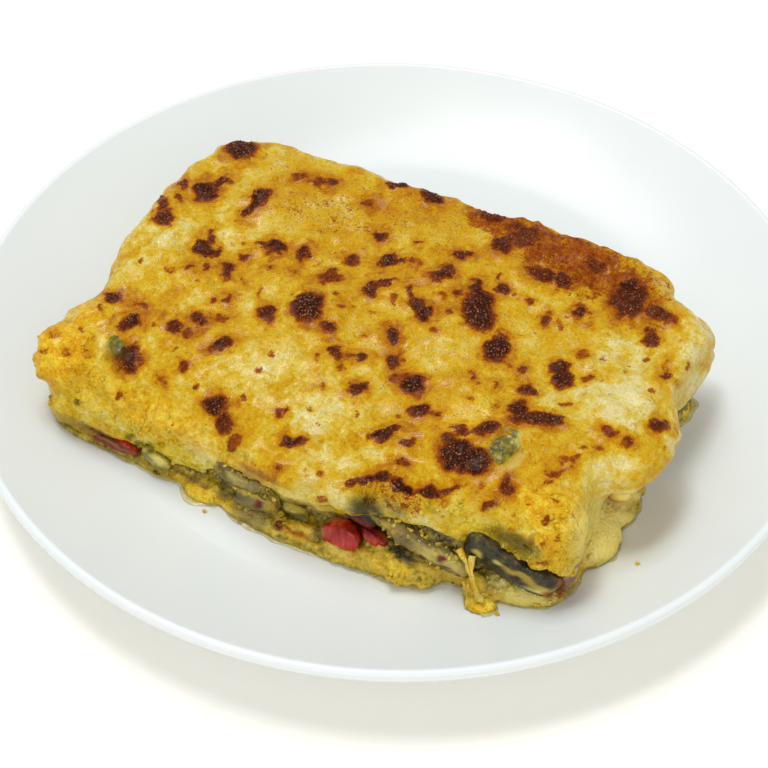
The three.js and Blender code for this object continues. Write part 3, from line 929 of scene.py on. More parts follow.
def packed(x, y, z):
    """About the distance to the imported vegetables, negative inside."""
    side = outline(x, y) + waver(x, y) + FILLING_INSET - 0.4
    return round_max(round_max(side, z - filling_top(x, y), 1.5), FILLING_BOTTOM - z, 0.5)


mash = Finish("vegetable_mash", {"IOR": 1.4, "Coat_Weight": 0.35, "Coat_Roughness": 0.2})
mash_tone = mash.noise(2.6, 4, 0.65) + (mash.noise(6, 2) - 0.5) * 0.5
pulp = mash.ramp(
    mash_tone,
    (0.28, "261c06"), (0.4, "5c4a12"), (0.5, "8a7a2c"), (0.6, "b09a40"), (0.72, "c9b458"), (0.85, "dccd86"),
)
mash.set(Base_Color=stained_and_lit(mash, pulp), Roughness=0.3 + 0.3 * mash.noise(1.2, 2))
mash.set(Normal=mash.bump(mash.noise(0.9, 3), 0.6))

points, faces = surface_of(packed, *FILLING_BOX, FILLING_PITCH)
points, faces = middle_fanned(points, faces, (FILLING_BOTTOM, FILLING_TOP))
points, normals = settle(packed, points)
lumpy = 1.1 + 1.5 * noise(points, 4.2, 21) + 0.9 * noise(points, 2.2, 22)
bare = at_side(points) * smooth_step(hem_height(*points[:, :2].T) - points[:, 2], -1.5, 1.5)
points = points + normals * (lumpy * bare)[:, None]
filling = mesh_piece("packed_vegetables", points, faces, mash, bare=bare, **stains_and_light_on(points, normals))
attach(filling, "root")
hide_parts("vegetable_filling")

crumbs = strewn("vegetable_crumbs", filling, "bare", mash, per_cm2=20, sizes=(0.35, 1.2), roundness=2, seed=9)
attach(crumbs, "root")


# ---------------------------------------------------------------- pieces of vegetable at the cut
# Pieces that stick out of the cut sides and the top: soft flesh and dark skin of aubergine, red and
# green pepper, a strip of mushroom and a curd of egg. Custard and cheese hold them in their places.

FINE_PIECE = 9  # pieces with a half size over this get a finer mesh
Piece = namedtuple("Piece", "node at size turn square kind")
PIECES = [
    # size is in half sizes, turn in degrees, square 2 for a ball and more for a block
    Piece("eggplant_skin_front_right", (65, -65.5, 19.5), (13.5, 6, 4.6), (-14, 17, 5), 5, "skin"),
    Piece("eggplant_slice_front_middle", (40, -66.5, 16.5), (15, 6.5, 3.6), (-8, 20, 0), 4, "flesh"),
    Piece("eggplant_skin_front_middle", (23.5, -68.5, 19.6), (5.6, 4, 4), (0, 38, 0), 3, "skin"),
    Piece("red_pepper_front_middle", (19, -73, 10.8), (5.6, 4.6, 5.2), (0, 0, 0), 2.3, "red"),
    Piece("red_pepper_strip_front_middle", (28.5, -71, 13.2), (4.4, 2.4, 2.2), (0, 28, 0), 2.5, "red"),
    Piece("eggplant_slice_front_left", (-12.5, -69, 17), (8, 6, 3.6), (-10, 14, 0), 4, "flesh"),
    Piece("eggplant_round_front_left", (-7, -71.5, 10), (7, 4.6, 5), (-12, 10, 0), 2.4, "flesh"),
    Piece("red_pepper_bit_front_left", (1.8, -75, 6.9), (2.5, 2.1, 1.9), (0, 0, 0), 2, "red"),
    Piece("green_pepper_front_left", (4.6, -72.6, 11.4), (4, 3, 1.6), (0, 16, 0), 2.5, "green"),
    Piece("egg_curd_front_left", (8.6, -74, 8.2), (3.8, 3.2, 2), (0, 8, 0), 2.2, "curd"),
    Piece("green_pepper_front_far_left", (-38.5, -71, 11.6), (4.8, 3.2, 2.6), (0, 18, 0), 3, "green"),
    Piece("red_pepper_strip_front_far_left", (-54, -69, 8.6), (8.5, 3, 1.7), (0, 0, -4), 3, "red"),
    Piece("mushroom_strip_front_right", (78, -61, 15), (2.6, 3.6, 7.6), (10, 8, 0), 2.6, "mushroom"),
    Piece("eggplant_bit_top_left", (-59.5, -55, None), (4.6, 3, 2.6), (10, -10, -30), 3, "green"),
    Piece("eggplant_bit_top_right", (53, -47.5, None), (3.6, 6.8, 2.6), (4, 0, -6), 3, "sliver"),
    Piece("eggplant_slice_right", (77.5, -4, 15), (5, 15, 3.8), (9, 0, 6), 4, "flesh"),
    Piece("red_pepper_right", (80, -28, 16.2), (3.8, 5, 3.4), (0, 0, 0), 3, "red"),
    Piece("eggplant_skin_back_right", (50, 32, 17.5), (14, 5, 4), (8, -8, -8), 5, "skin"),
    Piece("eggplant_slice_back_left", (-22, 30.5, 16), (15, 5, 3.8), (10, 7, 0), 4, "flesh"),
    Piece("red_pepper_back", (14, 33, 12.5), (5.4, 3.8, 4), (0, 20, 0), 3, "red"),
    Piece("green_pepper_back", (-50, 31.5, 13), (5, 3.4, 3), (0, -15, 0), 3, "green"),
    Piece("eggplant_slice_left", (-74, -17, 16), (4.6, 13, 3.8), (-8, 0, 0), 4, "flesh"),
    Piece("red_pepper_left", (-75, 6, 12.2), (3.6, 4.6, 3.4), (0, 0, 0), 3, "red"),
]
TOP_PIECE_SINK = {"eggplant_bit_top_left": 1.3, "eggplant_bit_top_right": 1.5}

WET = {"IOR": 1.4, "Specular_IOR_Level": 0.3, "Coat_Weight": 0.3, "Coat_Roughness": 0.12}

flesh = Finish("aubergine_flesh", {**WET, "Subsurface_Weight": 0.15, "Subsurface_Scale": 2 * MM})
flesh_tone = flesh.noise(2.4, 4, 0.6)
flesh_colour = flesh.ramp(flesh_tone, (0.3, "4a340c"), (0.44, "7c6424"), (0.58, "a08a40"), (0.72, "bfac64"))
flesh_seeds = flesh.step(flesh.noise(0.9, 1), 0.66, 0.72)
flesh_cut = flesh.mix(flesh_seeds * 0.5, flesh_colour, "4a3310")
flesh_rind = flesh.mix(flesh.attribute("rim") * (0.15 + 0.7 * flesh_tone), flesh_cut, "3a3214")
flesh.set(Base_Color=stained_and_lit(flesh, flesh_rind))
flesh.set(Roughness=0.24 + 0.25 * flesh_tone, Normal=flesh.bump(flesh.noise(1.1, 4, 0.6), 0.9))

skin = Finish("aubergine_skin", WET)
skin_tone = skin.noise(2.6, 4, 0.65)
skin_colour = skin.ramp(
    skin_tone, (0.3, "161006"), (0.45, "30290f"), (0.6, "4e4420"), (0.74, "736832"), (0.9, "a0965a")
)
skin.set(Base_Color=stained_and_lit(skin, skin_colour), Roughness=0.24 + 0.25 * skin.noise(1, 2))
skin.set(Normal=skin.bump(skin.noise(1.4, 4), 0.5))

red = Finish("red_pepper", {**WET, "Subsurface_Weight": 0.2, "Subsurface_Scale": 1.5 * MM})
upright = red.node("Mapping", inputs={"Vector": red.place, "Scale": (1, 1, 0.3)})
red_streaks = red.noise(2.2, 3, 0.5, place=upright)
red_colour = red.ramp(red_streaks, (0.34, "700c08"), (0.46, "9c1a12"), (0.6, "b83224"), (0.74, "cc5c48"))
red.set(Base_Color=stained_and_lit(red, red_colour), Roughness=0.16 + 0.2 * red_streaks)
red.set(Normal=red.bump(red_streaks, 0.25))

green = Finish("green_pepper", WET)
green_tone = green.noise(1.9, 4, 0.6)
green_colour = green.ramp(green_tone, (0.3, "443e06"), (0.46, "746a12"), (0.6, "9a8e30"), (0.74, "c4b86a"))
green.set(Base_Color=stained_and_lit(green, green_colour), Roughness=0.22 + 0.2 * green_tone)
green.set(Normal=green.bump(green.noise(1.1, 3), 0.4))

mushroom = Finish("mushroom", WET)
mushroom_tone = mushroom.noise(1.8, 4, 0.6)
mushroom_colour = mushroom.ramp(mushroom_tone, (0.3, "5a301c"), (0.5, "93664a"), (0.7, "c09c78"))
mushroom.set(Base_Color=stained_and_lit(mushroom, mushroom_colour), Roughness=0.26 + 0.3 * mushroom_tone)
mushroom.set(Normal=mushroom.bump(mushroom.noise(1, 3), 0.45))

PIECE_LOOKS = {
    # kind: finish, record's slot, how lumpy it is, how far it may stand beyond the cut side
    "flesh": (flesh, "eggplant_flesh", 1.3, 2.0),
    "skin": (skin, "eggplant_skin", 0.9, 2.0),
    "sliver": (green, "eggplant_skin", 0.9, None),
    "red": (red, "red_pepper", 0.35, 4.5),
    "green": (green, "green_pepper", 0.3, 1.6),
    "mushroom": (mushroom, "mushroom", 0.5, 2.5),
    "curd": (egg, "egg_curd", 0.7, 3.0),
}
PRESSED_SHARE = 0.6


def shaped(piece, number, lumpy):
    """Points, faces, outward directions and nearness to the flat sides of one piece, before it is laid."""
    points, faces = ball(6 if max(piece.size) > FINE_PIECE else 5)
    squared = (np.abs(points) ** piece.square).sum(1) ** (1 / piece.square)
    uneven = 1 + 0.1 * noise(points * 1.3 + 7 * number, 1, 30)
    points = points * (uneven / squared)[:, None] * piece.size
    rim = smooth_step(np.abs(points[:, 2]) / piece.size[2], 0.6, 0.95)
    outward = points / np.array(piece.size) ** 2
    outward /= np.linalg.norm(outward, axis=1)[:, None]
    own = points + 40 * number
    bulge = 0.6 * noise(own, 5, 31) + 0.4 * noise(own, 2.2, 32) + 0.5 * np.abs(noise(own, 1.4, 33)) - 0.5
    return points + outward * (lumpy * bulge)[:, None], faces, outward, rim


def pressed(points, proud):
    """Squeezes what stands more than the given distance beyond the cut side back towards it."""
    x, y = points[:, :2].T
    beyond = PRESSED_SHARE * np.maximum(outline(x, y) + waver(x, y) - proud, 0)
    return points - slope_of(lambda x, y, z: outline(x, y), points) * beyond[:, None]


for number, piece in enumerate(PIECES):
    finish, slot, lumpy, proud = PIECE_LOOKS[piece.kind]
    points, faces, outward, rim = shaped(piece, number, lumpy)
    turns = [Matrix.Rotation(np.radians(angle), 3, axis) for angle, axis in zip(piece.turn, "XYZ")]
    turn = np.array(turns[0] @ turns[1] @ turns[2])
    normals = outward @ turn.T
    x, y, z = piece.at
    if z is None:
        z = top_height(x, y) - TOP_PIECE_SINK[piece.node]
        points = points @ turn.T + (x, y, z)
    else:
        points = pressed(points @ turn.T + (x, y, z), proud)
    made = mesh_piece(piece.node + "_look", points, faces, finish, rim=rim,
                      pale=np.full(len(points), 0.3), yolk=np.full(len(points), 0.4),
                      **stains_and_light_on(points, normals))
    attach(made, "root")
    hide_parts(piece.node)
    if piece.kind == "flesh":
        clinging = strewn(piece.node + "_curds", made, "rim", egg, per_cm2=40, sizes=(0.3, 0.9),
                          roundness=2, seed=number)
        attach(clinging, "root")


# ---------------------------------------------------------------- the cheese
# A thick layer of grated cheese over the whole slice. It melted down the sides in the oven, and the
# grill browned it and scorched it in spots.

LIP_DEPTH = 5.5
CHEESE_BOX = ((-88, -80, 6), (95, 44, 44))
CHEESE_PITCH = 0.75
CHEESE_LUMPS = [
    # centre, half sizes
    ((79, -24, 30), (13, 18, 8)),
    ((82, 21, 25), (7, 9, 8)),
    ((73, -59, 29), (7, 7, 8)),
    ((75, -62, 20), (5.5, 5.5, 8)),
    ((-73, -53, 23.5), (10.5, 16, 9)),
    ((8, -70, 25), (24, 5.5, 6)),
    ((50, 32, 34), (22, 6, 6)),
]


def cheese(x, y, z):
    """About the distance to the cheese, negative inside."""
    edge = outline(x, y) + waver(x, y)
    shoulder = 13 - 8 * smooth_step(y, -66, -10)
    distance = round_max(edge, z - top_height(x, y), shoulder)
    for centre, size in CHEESE_LUMPS:
        distance = round_min(distance, ellipsoid(x, y, z, centre, size), 4)
    undercut = np.minimum(hem_height(x, y) - z, LIP_DEPTH + outline(x, y))
    distance = round_max(distance, undercut, 1.5)
    within = np.maximum(outline(x, y) + waver(x, y) + FILLING_INSET + 1, z - filling_top(x, y) + 1)
    return np.maximum(distance, -within)


SCORCHES = [
    # the left and the back left corner
    Dab((242, 151), (33, 22)),
    Dab((206, 190), (26, 17)),
    Dab((222, 181), (16, 9), 30, 0.85),
    Dab((182, 184), (10, 8), 0, 0.75),
    Dab((163, 218), (22, 18), 0, 0.88),
    Dab((163, 204), (12, 14), 0, 0.8),
    Dab((179, 197), (10, 9), 0, 0.7),
    Dab((257, 202), (36, 15), 47, 0.93),
    Dab((300, 178), (22, 8), 5, 0.6),
    Dab((318, 184), (26, 9), -12, 0.65),
    Dab((333, 185), (13, 9), 0, 0.85),
    Dab((203, 247), (20, 14), 0, 0.9),
    Dab((216, 252), (14, 10), 0, 0.8),
    Dab((212, 236), (8, 16), -10, 0.75),
    Dab((277, 247), (18, 11), 5),
    Dab((264, 246), (16, 6), -10, 0.7),
    Dab((227, 269), (13, 16), 0, 0.85),
    Dab((242, 258), (11, 9), 0, 0.75),
    Dab((190, 268), (9, 8), 0, 0.7),
    Dab((207, 268), (9, 7), 0, 0.7),
    Dab((171, 270), (9, 8), 0, 0.45),
    Dab((242, 242), (9, 8), 0, 0.45),
    Dab((243, 280), (8, 8), 0, 0.45),
    Dab((303, 254), (18, 11), 10, 0.85),
    Dab((269, 270), (8, 7), 0, 0.7),
    Dab((293, 272), (8, 7), 0, 0.65),
    Dab((325, 277), (8, 7), 0, 0.65),
    Dab((331, 275), (26, 8), 5, 0.7),
    # the front left
    Dab((58, 338), (10, 9), 0, 0.42),
    Dab((68, 352), (12, 10), 0, 0.45),
    Dab((86, 352), (9, 20), 0, 0.36),
    Dab((80, 330), (10, 7), 0, 0.36),
    Dab((46, 352), (7, 8), 0, 0.4),
    Dab((113, 297), (20, 11), -10, 0.88),
    Dab((143, 305), (16, 8), -45, 0.6),
    Dab((129, 323), (28, 13), 18, 0.92),
    Dab((100, 309), (10, 8), 0, 0.5),
    Dab((130, 358), (22, 30), -15, 0.9),
    Dab((174, 324), (18, 14), -10, 0.8),
    Dab((200, 318), (18, 13), 0, 0.87),
    Dab((219, 318), (16, 6), 0, 0.55),
    Dab((187, 335), (12, 10), 0, 0.65),
    Dab((216, 299), (9, 8), 0, 0.7),
    Dab((229, 300), (9, 8), 0, 0.7),
    Dab((222, 346), (24, 10), 20, 0.85),
    Dab((184, 367), (13, 12), 0, 0.65),
    Dab((162, 378), (10, 9), 0, 0.55),
    Dab((217, 405), (30, 22), 0, 0.9),
    Dab((224, 424), (18, 22), 0, 0.78),
    Dab((232, 443), (22, 14), 30, 0.55),
    # the middle
    Dab((308, 307), (32, 34)),
    Dab((267, 315), (17, 18), 0, 0.85),
    Dab((328, 327), (18, 12), 0, 0.85),
    Dab((259, 295), (7, 16), 0, 0.45),
    Dab((398, 186), (22, 10), -5, 0.95),
    Dab((431, 196), (26, 12), -25, 0.95),
    Dab((368, 204), (16, 9), 0, 0.65),
    Dab((379, 236), (16, 13), 0, 0.9),
    Dab((419, 243), (8, 6), 0, 0.6),
    Dab((352, 259), (17, 10), 0, 0.75),
    Dab((393, 263), (30, 11), 0, 0.9),
    Dab((416, 264), (10, 8), 0, 0.5),
    Dab((461, 254), (26, 9), 5, 0.85),
    Dab((441, 274), (26, 16), 20, 0.85),
    Dab((371, 289), (14, 18), 0, 0.85),
    Dab((386, 283), (26, 7), 8, 0.78),
    Dab((409, 291), (10, 16), 0, 0.75),
    Dab((416, 303), (18, 13), -40, 0.85),
    Dab((424, 312), (18, 14), 0, 0.95),
    Dab((393, 301), (9, 8), 0, 0.5),
    Dab((441, 296), (9, 8), 0, 0.5),
    Dab((434, 331), (9, 8), 0, 0.5),
    Dab((365, 336), (9, 8), 0, 0.5),
    Dab((341, 306), (10, 8), 0, 0.5),
    Dab((479, 309), (33, 42)),
    Dab((476, 288), (14, 16)),
    Dab((456, 291), (16, 8), -10, 0.72),
    Dab((449, 312), (12, 8), 0, 0.6),
    Dab((498, 349), (25, 30), -15),
    Dab((503, 290), (14, 11), 0, 0.82),
    Dab((500, 278), (8, 7), 0, 0.6),
    Dab((529, 301), (10, 9), 0, 0.65),
    Dab((546, 319), (12, 14), 0, 0.75),
    Dab((560, 325), (9, 8), 0, 0.45),
    Dab((393, 335), (14, 18), 0, 0.9),
    Dab((394, 361), (13, 17), 0, 0.78),
    Dab((411, 386), (26, 22)),
    Dab((394, 377), (14, 9), 0, 0.6),
    Dab((357, 390), (23, 15), 10, 0.9),
    Dab((335, 353), (14, 12), 0, 0.8),
    Dab((350, 356), (18, 4), -8, 0.6),
    Dab((363, 357), (14, 8), 0, 0.8),
    Dab((319, 359), (8, 8), 0, 0.5),
    Dab((339, 366), (8, 8), 0, 0.5),
    Dab((322, 386), (8, 8), 0, 0.5),
    # the dark crust on the back right corner
    Dab((495, 215), (38, 14), -14, 0.78),
    Dab((526, 236), (45, 28), -10, 0.74),
    Dab((503, 246), (22, 15), 0, 0.86),
    Dab((541, 275), (34, 14), -12, 0.8),
    Dab((564, 281), (26, 12), -10, 0.84),
    Dab((596, 266), (30, 16), -15, 0.7),
    Dab((628, 300), (45, 38), -10, 0.84),
    Dab((628, 286), (22, 14), 0, 0.88),
    Dab((659, 316), (30, 16), -30, 0.78),
    Dab((673, 321), (10, 9), 0, 0.6),
    Dab((581, 315), (16, 15), 0, 0.88),
    Dab((651, 339), (16, 20), 0, 0.8),
    Dab((665, 364), (8, 8), 0, 0.5),
    Dab((686, 367), (8, 8), 0, 0.5),
    Dab((667, 376), (13, 9), 0, 0.75),
    # the front right
    Dab((561, 374), (22, 26), 0, 0.92),
    Dab((584, 353), (18, 14), 0, 0.5),
    Dab((587, 376), (12, 10), 0, 0.6),
    Dab((520, 371), (14, 8), 0, 0.7),
    Dab((527, 392), (18, 16), 0, 0.85),
    Dab((518, 412), (22, 24), 0, 0.92),
    Dab((538, 420), (46, 15), -10, 0.87),
    Dab((552, 423), (20, 11), 0, 0.87),
    Dab((494, 386), (9, 8), 0, 0.6),
    Dab((472, 375), (8, 12), 0, 0.6),
    Dab((471, 400), (9, 8), 0, 0.5),
    Dab((495, 408), (9, 8), 0, 0.5),
    Dab((566, 405), (10, 8), 0, 0.5),
    Dab((419, 411), (20, 14), 0, 0.9),
    Dab((434, 416), (10, 8), 0, 0.7),
    Dab((399, 416), (9, 8), 0, 0.45),
    Dab((383, 434), (36, 12), 20, 0.95),
    Dab((408, 442), (16, 8), 0, 0.8),
    Dab((402, 463), (14, 9), 0, 0.7),
    Dab((459, 455), (38, 33)),
    Dab((478, 463), (28, 26)),
    Dab((450, 442), (16, 12), 0, 0.8),
    Dab((487, 428), (26, 14), 10, 0.9),
    Dab((461, 430), (22, 7), 0, 0.7),
    Dab((507, 486), (16, 24), -10, 0.75),
    Dab((487, 504), (14, 8), 30, 0.7),
    Dab((556, 470), (24, 10), 10, 0.6),
    Dab((572, 458), (30, 9), 10, 0.5),
    Dab((549, 482), (12, 10), 0, 0.5),
    Dab((628, 445), (11, 10), 0, 0.75),
    Dab((660, 425), (20, 12), -10, 0.75),
    Dab((611, 431), (18, 8), -20, 0.65),
    Dab((598, 445), (14, 8), 0, 0.5),
    # the front
    Dab((295, 441), (26, 14), 0, 0.92),
    Dab((282, 411), (12, 9), 0, 0.6),
    Dab((282, 466), (9, 7), 0, 0.6),
    Dab((351, 484), (16, 12), 0, 0.8),
    Dab((366, 479), (24, 10), 15, 0.9),
    Dab((382, 477), (22, 13), 0, 0.96),
    Dab((403, 488), (26, 14), -30),
    Dab((429, 491), (28, 14), 0, 0.92),
    Dab((450, 488), (22, 8), 5, 0.75),
    Dab((554, 506), (10, 8), 0, 0.6),
    Dab((544, 521), (10, 8), 30, 0.65),
    Dab((542, 560), (7, 8), 0, 0.5),
    Dab((322, 500), (12, 9), 0, 0.4),
]
TOASTED = [
    # ground that coloured evenly: brown round the back right corner, golden in the middle
    Dab((575, 258), (200, 62), -26, 0.5),
    Dab((500, 220), (90, 34), -15, 0.46),
    Dab((640, 306), (70, 40), -25, 0.42),
    Dab((430, 210), (180, 60), -8, 0.2),
    Dab((330, 200), (150, 50), -5, 0.16),
    Dab((400, 300), (260, 140), -10, 0.13),
    Dab((330, 480), (90, 30), -18, 0.14),
    Dab((560, 350), (120, 60), -10, 0.12),
    Dab((205, 255), (80, 50), 0, 0.14),
    Dab((440, 440), (130, 60), 0, 0.12),
    Dab((400, 500), (70, 20), -20, 0.3),
    Dab((360, 270), (220, 90), -10, 0.14),
    Dab((350, 210), (230, 70), -10, 0.22),
    Dab((330, 330), (120, 60), 0, 0.1),
    Dab((500, 330), (90, 80), 0, 0.12),
    Dab((290, 170), (110, 40), -10, 0.17),
    Dab((430, 390), (120, 80), -10, 0.15),
    Dab((510, 450), (80, 60), 0, 0.14),
    Dab((395, 500), (110, 22), -18, 0.34),
]
CREAMY_AND_LIT = [
    # thick and pale, and painted light on the side faces at the right that lie in shade
    Dab((150, 245), (110, 60), 30, 0.6),
    Dab((250, 225), (60, 40), 0, 0.5),
    Dab((605, 400), (120, 60), -10, 0.9),
    Dab((640, 350), (60, 40), 0, 0.5),
    Dab((200, 440), (80, 40), -30, 0.7),
    Dab((330, 505), (100, 34), -15, 0.9),
    Dab((330, 440), (90, 50), 0, 0.7),
    Dab((165, 262), (50, 40), 30, 0.5),
    Dab((240, 360), (90, 50), 0, 0.4),
    Dab((450, 350), (60, 60), 0, 0.4),
    Dab((320, 410), (90, 50), 0, 0.5),
    Dab((430, 515), (110, 40), -10, 0.6),
    Dab((600, 470), (60, 60), 0, 0.5),
    Dab((703, 335), (30, 50)),
    Dab((688, 385), (30, 70), 0, 0.9),
    Dab((680, 430), (30, 60)),
    Dab((662, 286), (40, 18), -30, 0.7),
]
YOLKY = [
    # yellow with the egg that came up through it
    Dab((62, 355), (56, 60)),
    Dab((85, 320), (50, 30), 30, 0.7),
    Dab((165, 420), (120, 34), -25, 0.7),
    Dab((545, 505), (50, 50), 30, 0.9),
    Dab((548, 555), (26, 60)),
    Dab((250, 470), (60, 20), -25, 0.6),
    Dab((470, 420), (70, 40), 0, 0.4),
]

TORN = [
    # where the cut side is rough and curdled
    Dab((125, 418), (250, 60), -29, 0.5),
    Dab((150, 440), (200, 16), -29, 0.9),
    Dab((64, 400), (50, 50), 0, 0.5),
    Dab((235, 455), (60, 24), -30, 0.6),
    Dab((545, 545), (50, 90)),
    Dab((400, 500), (110, 26), -20, 0.7),
    Dab((480, 535), (90, 40), -30, 0.7),
]

LUMPS = [
    # what stands up from the rest: soft egg at the front left, folds and wrinkles at the right
    Dab((54, 338), (26, 26)),
    Dab((66, 364), (32, 22)),
    Dab((84, 344), (14, 30), -15, 0.8),
    Dab((90, 314), (26, 18), 20, 0.8),
    Dab((44, 366), (12, 20), 0, 0.7),
    Dab((104, 386), (34, 16), -20, 0.6),
    Dab((140, 402), (34, 16), -25, 0.6),
    Dab((171, 424), (30, 16), -25, 0.6),
    Dab((547, 506), (40, 18), -10, 0.8),
    Dab((541, 545), (16, 56), -8, 0.9),
    Dab((574, 500), (12, 50), -20, 0.6),
    Dab((616, 380), (34, 6), -30, 0.5),
    Dab((632, 394), (38, 6), -25, 0.5),
    Dab((620, 408), (34, 5), -32, 0.5),
    Dab((590, 392), (8, 34), -20, 0.4),
    Dab((572, 430), (40, 10), -35, 0.5),
    Dab((592, 452), (44, 10), -30, 0.4),
    Dab((308, 488), (60, 20), -18, 0.5),
    Dab((466, 457), (46, 34), 0, 0.4),
    Dab((330, 420), (40, 16), -20, 0.4),
    Dab((180, 230), (40, 14), 30, 0.4),
]
LUMP_HEIGHT = 1.6

SPECKS = 320
SPECK_SEED = 8


def specked(points, normals):
    """Small scorched spots strewn over the top at random."""
    draw = np.random.default_rng(SPECK_SEED)
    level = np.zeros(len(points))
    ragged = points + 0.7 * np.stack([noise(points, 1.6, seed) for seed in (51, 52, 53)], 1)
    for _ in range(SPECKS):
        middle = points[draw.integers(len(points))]
        radius, strength = draw.uniform(0.6, 1.5), draw.uniform(0.25, 0.55)
        distance = np.sqrt(((ragged - middle) ** 2).sum(1)) / radius
        level = np.maximum(level, strength * smooth_step(-distance, -1.4, -0.5))
    return level * smooth_step(normals[:, 2], 0.1, 0.6)


points, faces = surface_of(cheese, *CHEESE_BOX, CHEESE_PITCH)
points, faces = middle_fanned(points, faces, (FILLING_TOP - 1,))
points, normals = settle(cheese, points)
on_top = smooth_step(points[:, 2] - filling_top(*points[:, :2].T), 2, 4)
shown = np.maximum(on_top, at_side(points))
scorch = dabbed(points, normals, SCORCHES, ragged=4, soft=0.45)
scorch = np.maximum(scorch, specked(points, normals))
halo = dabbed(points, normals, SCORCHES, ragged=6, spread=7)
toast = dabbed(points, normals, TOASTED, ragged=6, soft=0.6)
cream = dabbed(points, normals, CREAMY_AND_LIT, ragged=8, soft=0.7)
yolk = dabbed(points, normals, YOLKY, ragged=6, soft=0.6)
swells = 0.6 * noise(points, 12, 41) + 0.75 * noise(points, 5.5, 42) + 0.5 * noise(points, 2.7, 43)
blistered = 0.35 * smooth_step(scorch, 0.4, 0.8) * (1 + 0.9 * noise(points, 1.7, 44))
crusty = 0.8 * smooth_step(toast, 0.2, 0.4) * (noise(points, 3.1, 45) + 0.6 * noise(points, 1.5, 54))
torn = dabbed(points, normals, TORN, ragged=6, soft=0.6)
crumpled = torn * (1.5 * np.abs(noise(points, 3.8, 48)) + 0.8 * np.abs(noise(points, 1.7, 49)) - 0.5)
folded = LUMP_HEIGHT * dabbed(points, normals, LUMPS, ragged=3, soft=0.9)
eggy = yolk * (2.2 * np.abs(noise(points, 5, 46)) + 0.8 * np.abs(noise(points, 2.4, 47)) - 0.7)
points = points + normals * (shown * (swells + blistered + crusty + eggy + crumpled + folded))[:, None]

melted = Finish("browned_cheese", {
    "IOR": 1.42,
    "Specular_IOR_Level": 0.08,
    "Coat_Weight": 0.3,
    "Coat_Roughness": 0.12,
    "Coat_IOR": 1.45,
    "Subsurface_Weight": 0.15,
    "Subsurface_Radius": (1.0, 0.75, 0.3),
    "Subsurface_Scale": 2.5 * MM,
})
cloud = melted.noise(11, 3, 0.55)
patch = melted.noise(4, 4, 0.6, warp=0.5)
fine = melted.noise(1.3, 4, 0.65)
grain = melted.noise(0.55, 2)
golden = melted.step(melted.attribute("halo") + (patch - 0.5) * 0.7, 0.1, 0.8)
# paleness rises with the creamy dabs, which are partly painted light
paleness = melted.attribute("cream") * 0.4 + (cloud - 0.5) * 1.25 + (patch - 0.5) * 1.0 + (fine - 0.5) * 0.9
ground = melted.ramp(
    paleness + 0.55 - golden * 0.4,
    (0.0, "b86e00"), (0.18, "cc8a00"), (0.38, "d8a002"), (0.6, "e0b61e"), (0.8, "e8cc5c"), (1.0, "efe09c"),
)
egg_mottle = melted.ramp(
    patch + (fine - 0.5) * 0.6, (0.26, "b8a210"), (0.42, "e4c820"), (0.56, "f4dc50"), (0.72, "fcf0a0")
)
curdled_side = melted.mix(melted.attribute("torn") * 0.75, ground, egg_mottle)
yolk_tone = melted.ramp(patch + (fine - 0.5) * 0.7, (0.3, "dc9402"), (0.48, "f4b606"), (0.66, "fcdc3c"))
rich = melted.mix(melted.attribute("yolk") * (0.4 + patch), curdled_side, yolk_tone)
flecks = melted.step(melted.noise(1.6, 3, 0.6), 0.54, 0.68) * golden
flecked = melted.mix(flecks * 0.6, rich, "ac660a")
ragged_scorch = melted.attribute("scorch") + (patch - 0.5) * 0.35 + (fine - 0.5) * 0.8 + (grain - 0.5) * 0.5
ragged_toast = melted.attribute("toast") + (patch - 0.5) * 0.5 + (fine - 0.5) * 0.8 + (grain - 0.5) * 0.5
warmth = melted.maths("MAXIMUM", ragged_scorch, ragged_toast)
burn = melted.ramp(
    warmth,
    (0.2, "c88a00"), (0.34, "b46a02"), (0.5, "a04c06"), (0.66, "7e3406"), (0.84, "582206"), (1.0, "3a1204"),
)
burnt = melted.step(warmth, 0.12, 0.46)
browned = melted.mix(burnt, flecked, burn)
glints = melted.step(grain, 0.6, 0.72) * (0.24 - 0.12 * burnt)
melted.set(Base_Color=stained_and_lit(melted, melted.mix(glints, browned, "f0d490")))
melted.set(Roughness=0.2 + 0.3 * fine + 0.1 * burnt, Coat_Weight=0.26 - 0.18 * burnt)
relief = melted.bump(melted.noise(1.4, 4, 0.65), 1.3, under=melted.bump(patch, 1.2))
melted.set(Normal=melted.bump(grain, 0.3, under=relief))

cheese_top = mesh_piece("browned_cheese_top", points, faces, melted,
                        scorch=scorch, halo=halo, toast=toast, cream=cream, yolk=yolk, torn=torn,
                        crisp=smooth_step(scorch, 0.45, 0.8), **stains_and_light_on(points, normals))
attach(cheese_top, "root")
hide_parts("cheese_top")

cheese_curds = strewn("cheese_curds", cheese_top, "torn", melted, per_cm2=16, sizes=(0.3, 0.9),
                      roundness=2, seed=12)
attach(cheese_curds, "root")


# ---------------------------------------------------------------- strings of cheese
# Two strings of melted cheese at the front right, pulled out as the slice was lifted. They hang from
# the cheese to the curd on the plate and are thinnest halfway.

STRAND_SIDES = 10
STRAND_STEPS = 28
STRANDS = [
    # start, bend and end, radius
    ((51.6, -70.2, 20.5), (58.0, -75.0, 18.5), (59.6, -75.0, 10.5), 1.3),
    ((55.5, -71.2, 21.5), (57.0, -76.2, 17.5), (60.6, -75.2, 10.5), 1.1),
]


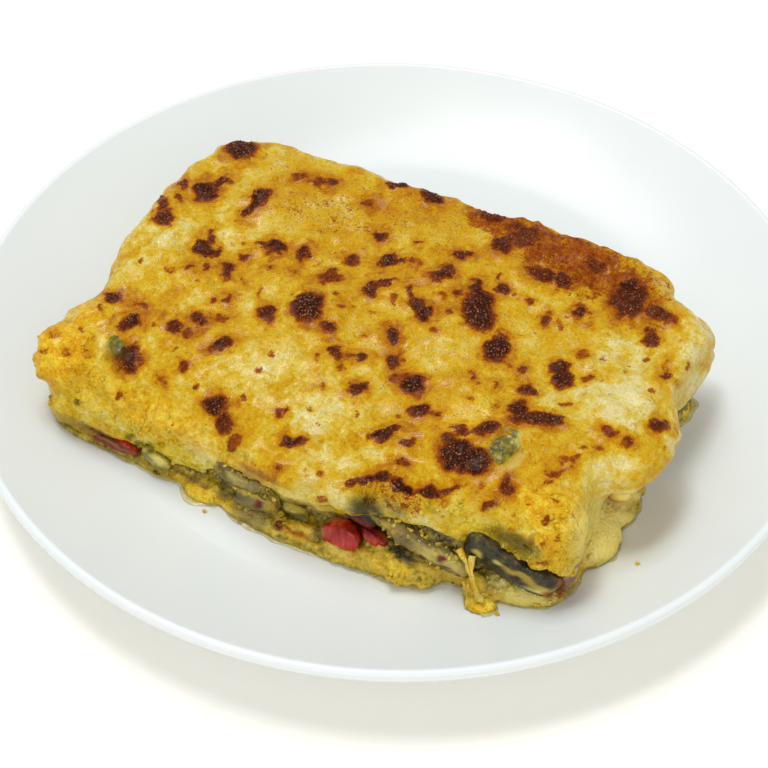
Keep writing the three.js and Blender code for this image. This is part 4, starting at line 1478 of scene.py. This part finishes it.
def strand(start, bend, end, radius):
    """Points and faces of one string, a thin closed tube along a curve through three points."""
    way = np.linspace(0, 1, STRAND_STEPS)[:, None]
    line = (1 - way) ** 2 * start + 2 * way * (1 - way) * bend + way**2 * end
    along = np.gradient(line, axis=0)
    side = np.cross(along, (0, 1, 0))
    side /= np.linalg.norm(side, axis=1)[:, None]
    up = np.cross(side, along)
    up /= np.linalg.norm(up, axis=1)[:, None]
    angles = np.arange(STRAND_SIDES)[:, None] * 2 * np.pi / STRAND_SIDES
    rings = []
    for middle, aside, above, part in zip(line, side, up, way[:, 0]):
        offset = radius * (np.cos(angles) * aside + np.sin(angles) * above)
        rough = 0.4 * noise(middle + offset, 1.6, 65)[:, None]
        rings.append(middle + offset * (1 - 0.6 * np.sin(np.pi * part) ** 0.7 + rough))
    first = np.arange(STRAND_SIDES)
    second = np.roll(first, -1)
    last = (STRAND_STEPS - 1) * STRAND_SIDES
    faces = []
    for low in range(0, last, STRAND_SIDES):
        high = low + STRAND_SIDES
        faces += np.stack([low + second, low + first, high + first, high + second], 1).tolist()
    faces += [first.tolist(), (last + first[::-1]).tolist()]
    return np.vstack(rings), faces


points, faces = joined([strand(*each) for each in STRANDS])
cheese_strands = mesh_piece("cheese_strands", points, faces, melted, cream=np.full(len(points), 0.6),
                            yolk=np.full(len(points), 0.5))
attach(cheese_strands, "root")


# ---------------------------------------------------------------- crisp crumbs on the scorches
# Grains of cheese that dried out and crisped where the grill scorched the top. They are baked on to
# the blisters.

crisp = Finish("crisp_crumb", {"IOR": 1.45, "Coat_Weight": 0.2, "Coat_Roughness": 0.2})
crisp_tone = crisp.noise(1.5, 2)
crisp.set(Base_Color=crisp.ramp(crisp_tone, (0.3, "3c1406"), (0.5, "743a18"), (0.7, "a8703c")))
crisp.set(Roughness=0.25 + 0.3 * crisp_tone)

crisp_crumbs = strewn("crisp_crumbs", cheese_top, "crisp", crisp, per_cm2=90, sizes=(0.15, 0.4),
                      roundness=1, seed=6)
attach(crisp_crumbs, "root")
